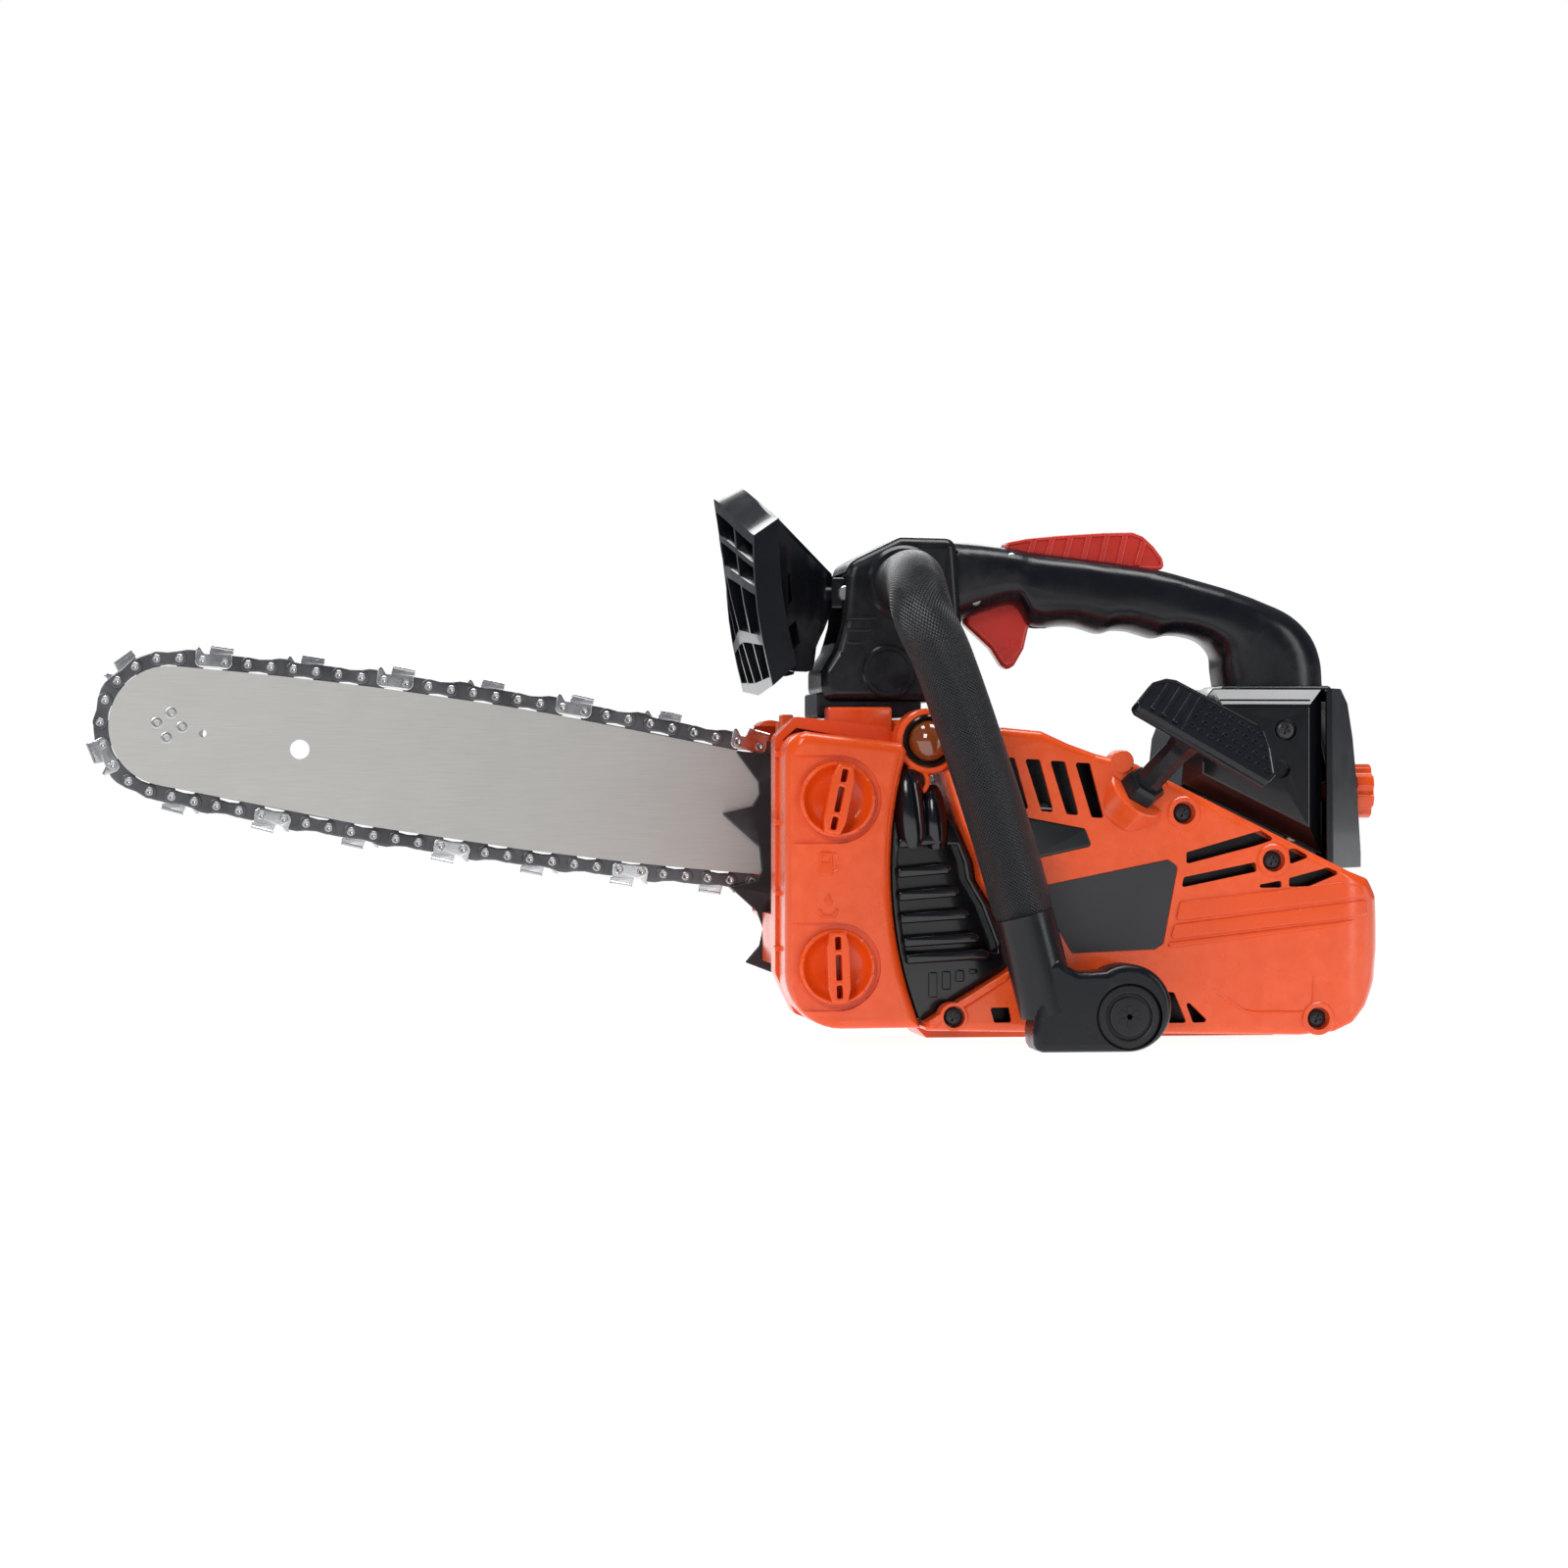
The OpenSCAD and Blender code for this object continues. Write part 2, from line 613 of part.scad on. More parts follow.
module cover_knob() color(orange) difference() {
  union() {
    rod_x(0, 100.3, 11.4, 138.9, 146);
    rod_x(0, 100.3, 3.9, 116, 140);
  }
  for (a = [0 : 45 : 359]) translate([0, 12.6 * cos(a), 100.3 + 12.6 * sin(a)])
    rotate([0, 90, 0]) translate([0, 0, 138]) cylinder(r=2.6, h=10);
}

// ---- tank ----

cap_at = [[-84.4, 97.2], [-84.6, 31.6]];
cap_r = 15;
primer_at = [-46.9, 120.2];
boss_at = [-52.5, 104.4];
engine_side_r = 170;
engine_side_at = [107, 70];
module tank_outline() difference() {
  union() {
    polygon([[-104.5, 29.2], [-82.5, 7.2], [-50, 7.2], [-55.5, 100], [-55.5, 112],
      [-60, 119.5], [-95.5, 123.8], [-104.5, 114.8]]);
    translate([-82.5, 29.2]) circle(r=22);
    translate([-95.5, 114.8]) circle(r=9);
  }
  translate(engine_side_at) circle(r=engine_side_r, $fn=180);
}
module cap_recess(p) {
  translate(p) circle(r=cap_r + 2.4);
  translate([-104.5, p[1] - cap_r - 2.4]) square([p[0] + 104.5, 2 * cap_r + 4.8]);
}
module tank_shell() color(orange) difference() {
  union() {
    slab(tank_face, -40) tank_outline();
    rod_y(primer_at[0], primer_at[1], 12.7, -58, -44);
    rod_y(boss_at[0], boss_at[1], 6.2, -58, -40);
    slab(-52, -44) polygon([[-60, 100], [-42, 108], [-40, 120], [-60, 120]]);
  }
  slab(tank_face + wall + 2, -39) intersection() {
    offset(-wall) tank_outline();
    union() {
      translate([-110, 0]) square([70, 62]);
      translate([-110, 64.5]) square([70, 70]);
    }
  }
  slab(-70, tank_face + 2) intersection() {
    offset(-1.6) tank_outline();
    for (p = cap_at) cap_recess(p);
  }
  for (p = cap_at) rod_y(p[0], p[1], 12 + run_gap, -70, -50);
  rod_y(primer_at[0], primer_at[1], 8.8, -60, -48);
  rod_y(boss_at[0], boss_at[1], 4.5, -60, -54);
  rod_y(boss_at[0], boss_at[1], 2.5, -60, -43);
}
module tank_back() color(orange) difference() {
  slab(-39.8, -26) difference() {
    soft(3) polygon([[-105.8, 28], [-98, 12], [-84, 6.5], [-50, 6.5], [-58, 100], [-57, 122],
      [-61, 126], [-98, 130], [-105.8, 122]]);
    translate(engine_side_at) circle(r=engine_side_r, $fn=180);
  }
  slab(-41, -26 - wall) offset(-wall) difference() {
    polygon([[-105, 28], [-98, 13], [-84, 7.5], [-50, 7.5], [-58, 100], [-58, 121],
      [-98, 128], [-105, 122]]);
    translate(engine_side_at) circle(r=engine_side_r, $fn=180);
  }
}
module tank_cap(p, turn) {
  rod_y(p[0], p[1], cap_r, tank_face - 1.6, tank_face + 1.8);
  rod_y(p[0], p[1], 12, tank_face + 1.6, tank_face + 10);
  slab(tank_face - 5.5, tank_face - 1) translate(p) rotate(turn)
    polygon([[-3, -13.6], [3, -13.6], [4.4, -8], [4.4, 8], [3, 13.6], [-3, 13.6], [-4.4, 8],
      [-4.4, -8]]);
}
module fuel_cap() color(orange) tank_cap(cap_at[0], -12);
module oil_cap() color(orange) tank_cap(cap_at[1], 2);
module primer_ring() color(black) difference() {
  rod_y(primer_at[0], primer_at[1], 10, -59.6, -58.1);
  rod_y(primer_at[0], primer_at[1], 8.6, -62, -50);
}
module primer_bulb() color([0.55, 0.25, 0.08])
  translate([primer_at[0], -57, primer_at[1]]) rotate([90, 0, 0]) intersection() {
    union() {
      sphere(r=8.3);
      cylinder(r=8.3, h=0.1);
    }
    cylinder(r=9, h=9);
  }

// ---- engine side panels ----

module engine_side_outline() intersection() {
  polygon([[-62, 103], [-60, 98], [-44, 97], [-40, 92], [-36, 87], [-29.6, 72], [-28.6, 65],
    [-22.4, 55], [-16.5, 40], [-15, 31.5], [-48, 10.5], [-70, 10], [-70, 100]]);
  translate(engine_side_at) circle(r=engine_side_r - 0.6, $fn=180);
}
module cylinder_cover() color(black) difference() {
  slab(-57, -41) engine_side_outline();
  slab(-57 + wall, -40) offset(-wall) engine_side_outline();
  block([-46, -57 + wall, 30], [-10, -30, 100]);
  for (z = [35.5, 45, 54, 63, 72]) slab(-60, -50) rotate(4)
    polygon([[-56, z + 2.5], [-38 + (72 - z) * 0.4, z + 2.5], [-36 + (72 - z) * 0.4, z + 5],
      [-38 + (72 - z) * 0.4, z + 7.5], [-56.5, z + 7.5]]);
}

module starter_outline() polygon([[-44, 112], [-20, 125.5], [-4, 124], [7, 119], [18, 115],
  [34, 111.2], [47, 104.8], [88.5, 84], [120.6, 68.5], [129, 65.5], [134, 58], [135.5, 47],
  [135.5, 38], [133, 25], [128, 15], [122, 8.5], [114, 5], [100, 3.8], [46, 4.2],
  [-47, 6.5], [-50, 9.5], [-15, 30.6], [-15.5, 40], [-21.5, 55], [-27.8, 65], [-28.8, 72],
  [-35.2, 87], [-39, 98], [-42, 108]]);
module starter_plan(inset) translate([0, 0, -1]) linear_extrude(140) {
  polygon([[-60, cover_face + inset], [115, cover_face + inset], [115, -33], [-60, -33]]);
  translate([115, cover_face + 20]) circle(r=20.5 - inset);
  polygon([[110, -50], [135.5 - inset, -50], [135.5 - inset, -33], [110, -33]]);
}
screw_at = [[52.8, 91.8], [88.9, 73], [107, 10.4]];
strap_screw_at = [-39, 12];
module starter_cover() color(orange) difference() {
  union() {
    difference() {
      intersection() {
        slab(cover_face, -33) starter_outline();
        starter_plan(0);
      }
      intersection() {
        slab(cover_face + wall, -30) offset(-wall) starter_outline();
        starter_plan(wall);
      }
      block([-60, -55, 32], [-8, -30, 104]);
      slab(-60, -30) polygon([[-60, 0], [-5, 0], [-5, 36], [-60, 36]]);
      block([-60, -38, 3], [38, -30, 11]);
    }
    for (p = screw_at) rod_y(p[0], p[1], 5.8, cover_face + 1, -35);
    rod_y(strap_screw_at[0], strap_screw_at[1], 5, cover_face + 1, -60.5);
    along_pull() translate([0, 0, -8]) cylinder(r=12.4, h=9.5);
    crank_disc(4, cover_face + 1, -54);
  }
  slab(-75, -62) louvres();
  slab(-75, -62) rear_vents();
  slab(-75, -60) polygon([[45.4, 23.4], [52, 20], [64, 8.5], [46, 8.5]]);
  slab(-75, cover_face + 1.4) polygon([[-14, 90.8], [13.8, 85.7], [16.5, 78.7], [-6, 74]]);
  slab(-75, cover_face + 0.5) label_outline(0.2);
  for (p = screw_at) {
    rod_y(p[0], p[1], 4.4, -75, cover_face + 5);
    rod_y(p[0], p[1], 2.5, -75, -30);
  }
  rod_y(strap_screw_at[0], strap_screw_at[1], 4.2, -75, cover_face + 4);
  rod_y(strap_screw_at[0], strap_screw_at[1], 2.5, -75, -30);
  along_pull() translate([0, 0, -3.6]) cylinder(r=9.4, h=40);
  along_pull() translate([0, 0, -30]) cylinder(r=2.4, h=60);
  rod_y(foot_at[0], foot_at[1], 9, -75, -30);
  rod_y(primer_at[0], primer_at[1], 13.2, -75, -30);
  rod_y(boss_at[0], boss_at[1], 6.8, -75, -30);
  slab(-75, -42) polygon([[-62, 98], [-41.4, 107.4], [-39.4, 121], [-62, 121]]);
}
module louvres() for (i = [0 : 3]) translate([10 * i - 21, 0])
  polygon([[0.5, 113.6 - i * 0.7], [6, 113.4 - i * 0.7], [11.5, 93.5 - i * 1.2],
    [7, 93.8 - i * 1.2]]);
module rear_vents() {
  polygon([[53.8, 76.3], [84.2, 85.4], [90, 81.3], [82, 78.8], [53.8, 71.6]]);
  polygon([[52.8, 66.5], [81.8, 72.4], [82.3, 68.6], [51.8, 62.3]]);
  polygon([[95, 77.7], [98.1, 77.7], [104, 74.4], [95.6, 71.4]]);
  polygon([[95.2, 66], [111, 70.2], [116.3, 67.9], [103.4, 62.7], [95.2, 62.5]]);
  polygon([[76.5, 62.2], [92, 65.1], [92.5, 62.2]]);
}
module label_outline(grow) offset(delta=grow) polygon([[-7, 62.5], [46.4, 73.3], [50.2, 70.8],
  [44.4, 40.3], [41, 38.2], [8, 36.8]]);
module label_plate() color([0.25, 0.25, 0.27])
  slab(cover_face - 0.1, cover_face + 0.4) label_outline(0);
module small_screw(x, z, y) {
  rod_y(x, z, 3.7, y, y + 3);
  rod_y(x, z, 2.4, y + 2, y + 12);
}
module cover_screws() color([0.12, 0.12, 0.13]) {
  for (p = screw_at) small_screw(p[0], p[1], cover_face + 2);
  small_screw(strap_screw_at[0], strap_screw_at[1], cover_face + 1);
  small_screw(boss_at[0], boss_at[1], -57);
  small_screw(101.4, 125, -40.2);
}

// ---- handles ----

tube_path = [[-52, -23, 184], [-54, -62, 183.5], [-55, -80, 178], [-54, -91.5, 167],
  [-47.3, tube_y, 151], [-36, tube_y, 119], [-21, tube_y, 72], [-6, tube_y, 16]];
foot_at = [23.5, 13.6];
module front_handle() color(black) difference() {
  union() {
    for (i = [0 : len(tube_path) - 2]) {
      rod_to(tube_path[i], tube_path[i + 1], grip_r);
      if (i > 0) translate(tube_path[i]) sphere(r=grip_r + 0.1);
    }
    slab(-106, -84) polygon([[-17, 12], [-16, 4], [-12, 0], [32, 0], [38, 4], [40, 12],
      [23.6, 30], [12, 27.5], [6, 32], [-14, 36]]);
    rod_y(foot_at[0], foot_at[1] + 3.3, 16.9, -106, -84);
  }
  rod_y(foot_at[0], foot_at[1], 12.9, -110, -80);
  block([-30, -120, -30], [60, -60, 0]);
  block([-70, -24, 160], [-30, -10, 210]);
}
module foot_buffer() color([0.13, 0.13, 0.14]) {
  rod_y(foot_at[0], foot_at[1], 12.8, -105, -82);
  rod_y(foot_at[0], foot_at[1], 7.6, -106.3, -104);
  rod_y(foot_at[0], foot_at[1], 8.4, -83, -30.2);
}

guard_pin = [-75, 180];
trigger_pin = [-21, 178];
lockout_pin = [-6, 195];
module grip_outline() polygon([[-36, 202.4], [-20, 201.4], [11.8, 197.2], [39.9, 193.8],
  [56.8, 191.2], [69.3, 187.8], [85.3, 183.5], [95, 179.9], [105.8, 176], [114.7, 170.8],
  [120, 165.2], [123.6, 158.2], [125.3, 151.6], [125.5, 144.8], [122.5, 142.1],
  [81, 142.1], [80, 150], [79.6, 155.6], [76.5, 160], [72, 162.6], [65.8, 164],
  [60.3, 164.1], [55, 163], [49.7, 164.3], [44.3, 165.8], [37.3, 166], [31.9, 164.8],
  [23, 167.3], [15.3, 167.7], [7.6, 166.8], [1.4, 168.5], [-5, 177], [-20, 172.5],
  [-27, 168], [-36, 160]]);
module base_outline() polygon([[-83.5, 136.2], [-85, 142], [-85, 149], [-80, 157],
  [-77, 168], [-75.5, 187], [-74, 191.9], [-70.5, 194.2], [-53, 202.8], [-30, 202.4],
  [-27.5, 168], [-33, 155], [-36, 136.2]]);
module top_handle() color(black) {
  difference() {
    union() {
      slab(-handle_half_w, handle_half_w) grip_outline();
      slab(-24, 24) base_outline();
      rod_y(-52, 184, 15, -28, -23);
      rod_y(-58.2, 148.5, 10.7, -26, -23);
      block([-78, -20, 130], [-44, 20, 140]);
    }
    slab(-handle_half_w + 3.2, handle_half_w - 3.2) offset(-3.2) grip_outline();
    slab(-21, 21) offset(-3) base_outline();
    block([-75, -17, 133], [-47, 17, 141]);
    block([-40, -14.8, 165], [-28, 14.8, 198]);
    block([-90, -21, 160], [-72, 21, 188.5]);
    block([-27, -5.4, 160], [10, 5.4, 184]);
    block([-13, -6.6, 184], [62, 6.6, 210]);
    rod_to([-51.8, -19.1, 184.05], tube_path[1], grip_r + run_gap);
    block([-46, 20, 185.8], [-32, 26, 190.2]);
  }
  rod_y(guard_pin[0], guard_pin[1], 3, -22, 22);
  rod_y(trigger_pin[0], trigger_pin[1], 2.5, -15.2, 15.2);
  rod_y(lockout_pin[0], lockout_pin[1], 2, -15.2, 15.2);
}
module throttle_trigger() color(red) difference() {
  union() {
    slab(-4.6, 4.6) polygon([[-24, 176], [-23.5, 168], [-19, 164], [-13, 158.5],
      [-8.5, 151.5], [-5.9, 149.7], [-3, 151.5], [1, 158.5], [3.3, 168.5], [3.5, 174],
      [-10, 181], [-21, 182]]);
    rod_y(trigger_pin[0], trigger_pin[1], 5, -4.6, 4.6);
  }
  rod_y(trigger_pin[0], trigger_pin[1], 2.5 + run_gap, -6, 6);
}
module trigger_lockout() color(red) difference() {
  union() {
    slab(-6, 6) polygon([[-9, 194], [-6.8, 201.7], [1.8, 203.4], [14.7, 204.7], [33.9, 206],
      [45.6, 206.3], [50.1, 204.6], [54.5, 200.6], [58.2, 195.8], [59.2, 187], [54, 185.5],
      [0, 192.6]]);
    rod_y(lockout_pin[0], lockout_pin[1], 3.4, -6, 6);
  }
  rod_y(lockout_pin[0], lockout_pin[1], 2 + run_gap, -8, 8);
}
module stop_switch() color(red) {
  block([-44, 18.6, 186.2], [-38, 26.2, 189.8]);
  block([-46, 18.4, 184.6], [-38, 20.6, 191.4]);
}

guard_left = -46;
guard_right = 60;
guard_mid = 12;
module guard_edge(y, p) translate([p[0], y, p[1]]) cube([0.5, 2.5, 0.5], center=true);
module guard_face(side_y, mid_y) hull() {
  for (p = [[-115, 199.5], [-105.5, 204.5], [-107.5, 142], [-99, 149.5]]) guard_edge(side_y, p);
  for (p = [[-125, 220], [-114.5, 225], [-106.5, 139.5], [-99, 147]]) guard_edge(mid_y, p);
}
module guard_side(side_y, arm_y) hull() {
  for (p = [[-106, 204.5], [-106, 176], [-101, 155]]) guard_edge(side_y, p);
  for (p = [[-83, 188], [-83, 170], [-88, 161]]) guard_edge(arm_y, p);
}
module guard_top(side_y, arm_y) hull() {
  guard_edge(side_y, [-106, 203.5]);
  guard_edge(guard_mid, [-115, 224.5]);
  guard_edge(arm_y, [-83, 186]);
}
module hand_guard() color(black) difference() {
  union() {
    guard_face(guard_left, guard_mid);
    guard_face(guard_right, guard_mid);
    guard_side(guard_left, -17);
    guard_side(guard_right, 17);
    guard_top(guard_left, -17);
    guard_top(guard_right, 17);
    for (y = [-19.5, 14.5]) slab(y, y + 5) {
      translate(guard_pin) circle(r=6.3);
      polygon([[-84, 174], [-84, 186], [-75, 186], [-75, 174]]);
    }
  }
  for (y = [-34, 18]) block([-140, y, 158], [-90, y + 22, 190]);
  rod_y(guard_pin[0], guard_pin[1], 3 + run_gap, -30, 30);
}

// ---- the assembly ----

chassis();
crankcase_left();
crankcase_right();
crank_bearings();
crankshaft();
connecting_rod();
crank_pin();
piston();
piston_pin();
engine_cylinder();
spark_plug();
plug_cap();
ignition_coil();
flywheel();
muffler();
intake_boot();
carburettor();
throttle_shaft();
choke_shaft();
air_filter();
filter_housing();
filter_cover();
cover_knob();
tank_shell();
tank_back();
fuel_cap();
oil_cap();
primer_ring();
primer_bulb();
cylinder_cover();
starter_cover();
label_plate();
starter_pulley();
recoil_spring();
starter_rope();
starter_grip();
oil_pump();
clutch_hub();
clutch_drum();
brake_band();
clutch_cover();
bar_studs();
bar_nuts();
tension_screw();
tension_block();
bumper_spikes();
guide_bar();
nose_sprocket();
drive_link_set();
tie_strap_set();
cutter_set();
chain_rivets();
front_handle();
foot_buffer();
top_handle();
throttle_trigger();
trigger_lockout();
hand_guard();
cover_screws();
stop_switch();
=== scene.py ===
from math import acos, asin, atan2, ceil, cos, hypot, pi, radians, sin, sqrt, tan

import bmesh
import bpy
from mathutils import Matrix, Vector
from mathutils.geometry import tessellate_polygon


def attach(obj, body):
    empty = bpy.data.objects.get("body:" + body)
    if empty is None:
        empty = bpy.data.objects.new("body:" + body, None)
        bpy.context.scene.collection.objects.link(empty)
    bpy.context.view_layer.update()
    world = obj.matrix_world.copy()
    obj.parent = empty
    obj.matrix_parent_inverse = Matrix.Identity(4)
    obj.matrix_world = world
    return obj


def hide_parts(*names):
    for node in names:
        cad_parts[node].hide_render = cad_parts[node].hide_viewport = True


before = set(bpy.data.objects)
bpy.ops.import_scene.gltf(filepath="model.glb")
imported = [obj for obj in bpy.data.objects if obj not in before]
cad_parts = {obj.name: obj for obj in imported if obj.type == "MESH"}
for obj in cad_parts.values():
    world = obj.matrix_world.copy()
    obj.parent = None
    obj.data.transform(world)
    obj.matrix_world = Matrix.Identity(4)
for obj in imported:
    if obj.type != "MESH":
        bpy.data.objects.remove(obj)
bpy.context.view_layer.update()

MM = 0.001
CRISP = 32  # degrees between two faces from which their edge stays crisp
scene = bpy.context.scene

# ---------------------------------------------------------------- outlines, in mm


def signed_area(loop):
    return sum(a[0] * b[1] - b[0] * a[1] for a, b in zip(loop, loop[1:] + loop[:1])) / 2


def turned(loop, way):
    """The loop without repeated points, counter-clockwise for way 1 and clockwise for -1."""
    kept = [p for i, p in enumerate(loop) if hypot(p[0] - loop[i - 1][0], p[1] - loop[i - 1][1]) > 1e-4]
    return kept if signed_area(kept) * way > 0 else kept[::-1]


def inset(loop, d):
    """The loop moved by d into the material on its left."""
    if d == 0:
        return list(loop)
    out, n = [], len(loop)
    for i, p in enumerate(loop):
        p, a, b = Vector(p), Vector(loop[i - 1]), Vector(loop[(i + 1) % n])
        e, f = (p - a).normalized(), (b - p).normalized()
        s, t = Vector((-e.y, e.x)), Vector((-f.y, f.x))
        q = p + (s + t) * (d / max(1 + s.dot(t), 0.35))
        out.append((q.x, q.y))
    return out


def rounded(points, radius=1.0, step=15):
    """Corners (x, z) or (x, z, own radius) as a loop with round corners."""
    out, n = [], len(points)
    for i in range(n):
        p, a, b = Vector(points[i][:2]), Vector(points[i - 1][:2]), Vector(points[(i + 1) % n][:2])
        r = points[i][2] if len(points[i]) > 2 else radius
        u, v = a - p, b - p
        lu, lv = u.length, v.length
        u.normalize(), v.normalize()
        turn = pi - u.angle(v)
        if r <= 0 or turn < 0.03:
            out.append((p.x, p.y))
            continue
        t = min(r * tan(turn / 2), 0.48 * lu, 0.48 * lv)
        r = t / tan(turn / 2)
        c = p + (u + v).normalized() * (r / cos(turn / 2))
        s, e = p + u * t - c, p + v * t - c
        a0 = atan2(s.y, s.x)
        sweep = (atan2(e.y, e.x) - a0 + pi) % (2 * pi) - pi
        k = max(1, ceil(abs(sweep) / radians(step)))
        out += [(c.x + r * cos(a0 + sweep * j / k), c.y + r * sin(a0 + sweep * j / k)) for j in range(k + 1)]
    return out


def circle(x, z, r, n=32):
    return [(x + r * cos(2 * pi * i / n), z + r * sin(2 * pi * i / n)) for i in range(n)]


def arc(x, z, r, a0, a1, n=12):
    return [(x + r * cos(radians(a0 + (a1 - a0) * i / n)), z + r * sin(radians(a0 + (a1 - a0) * i / n)))
            for i in range(n + 1)]


def spline(points, per=6):
    """A smooth open line through points of any size."""
    pts = [Vector(p) for p in points]
    pts = [pts[0] * 2 - pts[1]] + pts + [pts[-1] * 2 - pts[-2]]
    out = []
    for i in range(1, len(pts) - 2):
        a, b, c, d = pts[i - 1:i + 3]
        for j in range(per):
            t = j / per
            out.append(0.5 * (2 * b + (c - a) * t + (2 * a - 5 * b + 4 * c - d) * t ** 2
                              + (3 * b - 3 * c + d - a) * t ** 3))
    return out + [pts[-2]]


# ---------------------------------------------------------------- solids


class Part:
    """A piece under construction, in mm. Plates face -Y unless at= turns them."""

    def __init__(self):
        self.bm = bmesh.new()

    def add(self, verts, faces, at=None):
        made = [self.bm.verts.new(at @ Vector(v) if at else Vector(v)) for v in verts]
        for f in faces:
            if len(set(f)) > 2:
                self.bm.faces.new([made[i] for i in f])
        return self

    @staticmethod
    def _rings(verts, faces, loop, profile):
        rings = []
        for d, y in profile:
            start = len(verts)
            verts += [(x, y, z) for x, z in inset(loop, d)]
            rings.append(list(range(start, len(verts))))
        Part._join(faces, rings)
        return rings

    @staticmethod
    def _join(faces, rings):
        for a, b in zip(rings, rings[1:]):
            n = len(a)
            faces += [(a[i], a[(i + 1) % n], b[(i + 1) % n], b[i]) for i in range(n)]

    @staticmethod
    def _cap(verts, faces, rings):
        flat = [i for r in rings for i in r]
        faces += [tuple(flat[k] for k in t) for t in tessellate_polygon(
            [[Vector((verts[i][0], verts[i][2], 0)) for i in r] for r in rings])]

    def plate(self, outline, y0, y1, r=0.8, holes=(), seg=3, at=None):
        """A solid plate between y0 (its face) and y1, with rounded edges and holes through it."""
        way = 1 if y1 > y0 else -1
        r = min(r, abs(y1 - y0) * 0.49)
        bow = [(r * (1 - sin(k / seg * pi / 2)), r * (1 - cos(k / seg * pi / 2))) for k in range(seg + 1)]
        profile = [(d, y0 + way * h) for d, h in bow]
        profile += [(d, y1 - way * h) for d, h in reversed(bow)]
        verts, faces = [], []
        rings = [self._rings(verts, faces, turned(outline, 1), profile)]
        rings += [self._rings(verts, faces, turned(h, -1), profile) for h in holes]
        self._cap(verts, faces, [s[0] for s in rings])
        self._cap(verts, faces, [s[-1] for s in rings])
        return self.add(verts, faces, at)

    def solid(self, outline, profile):
        """A solid whose outline steps in by d at each y; profile is (d, y) pairs."""
        verts, faces = [], []
        rings = self._rings(verts, faces, turned(outline, 1), profile)
        self._cap(verts, faces, [rings[0]])
        self._cap(verts, faces, [rings[-1]])
        return self.add(verts, faces)

    def tray(self, outline, y_open, y_face, r, wall=2.4, seg=6):
        """A hollow moulding, open at y_open, with a rounded edge round its face."""
        way = 1 if y_open > y_face else -1
        y_in = y_face + way * wall

        def bow(r, y, first, n):
            return [(first + r * (1 - sin(k / n * pi / 2)), y + way * r * (1 - cos(k / n * pi / 2)))
                    for k in reversed(range(n + 1))]
        verts, faces = [], []
        loop = turned(outline, 1)
        outer = self._rings(verts, faces, loop, [(0, y_open)] + bow(r, y_face, 0, seg))
        inner = self._rings(verts, faces, loop, [(wall, y_open)] + bow(max(r - wall, 0.4), y_in, wall, 2))
        self._join(faces, [outer[0], inner[0]])
        self._cap(verts, faces, [outer[-1]])
        self._cap(verts, faces, [inner[-1]])
        return self.add(verts, faces)

    def lathe(self, profile, x=0, z=0, n=40, closed=False, at=None):
        """A turned shape round Y at (x, z); profile is (radius, y) pairs."""
        verts, faces, rings = [], [], []
        for r, y in profile:
            start = len(verts)
            verts += [(x + r * cos(2 * pi * i / n), y, z + r * sin(2 * pi * i / n))
                      for i in range(n if r > 0 else 1)]
            rings.append(list(range(start, len(verts))))
        if closed:
            rings.append(rings[0])
        for a, b in zip(rings, rings[1:]):
            if len(a) == 1 and len(b) > 1:
                faces += [(a[0], b[i], b[(i + 1) % n]) for i in range(n)]
            elif len(b) == 1 and len(a) > 1:
                faces += [(b[0], a[(i + 1) % n], a[i]) for i in range(n)]
            else:
                self._join(faces, [a, b])
        return self.add(verts, faces, at)

    def loft(self, rings):
        """A closed solid through rings of equally many points."""
        verts = [tuple(p) for ring in rings for p in ring]
        n = len(rings[0])
        index = [list(range(i * n, i * n + n)) for i in range(len(rings))]
        faces = []
        self._join(faces, index)
        for ring in (index[0], index[-1]):
            verts.append(tuple(sum((Vector(verts[i]) for i in ring), Vector()) / n))
            faces += [(ring[i], ring[(i + 1) % n], len(verts) - 1) for i in range(n)]
        return self.add(verts, faces)

    def tube(self, path, radius, n=16):
        """A round bar along a path; radius may be one per point."""
        pts = [Vector(p) for p in path]
        radii = radius if isinstance(radius, (list, tuple)) else [radius] * len(pts)
        rings, side = [], None
        for i, p in enumerate(pts):
            t = (pts[min(i + 1, len(pts) - 1)] - pts[max(i - 1, 0)]).normalized()
            if side is None:
                side = t.cross(Vector((0, 1, 0)) if abs(t.y) < 0.9 else Vector((1, 0, 0))).normalized()
            side = (side - t * side.dot(t)).normalized()
            up = t.cross(side)
            rings.append([p + side * (radii[i] * cos(2 * pi * k / n)) + up * (radii[i] * sin(2 * pi * k / n))
                          for k in range(n)])
        return self.loft(rings)

    def box(self, low, high, r=0.4, at=None):
        """A block with rounded edges along Y."""
        (x0, y0, z0), (x1, y1, z1) = low, high
        return self.plate(rounded([(x0, z0), (x1, z0), (x1, z1), (x0, z1)], r), y0, y1, r, seg=2, at=at)

    def slice_x(self, places):
        """Adds edge loops at these X, so that the shape can bend there."""
        for x in places:
            bmesh.ops.bisect_plane(self.bm, geom=self.bm.verts[:] + self.bm.edges[:] + self.bm.faces[:],
                                   plane_co=(x, 0, 0), plane_no=(1, 0, 0))
        return self

    def bend(self, move):
        for v in self.bm.verts:
            v.co = move(v.co)
        return self

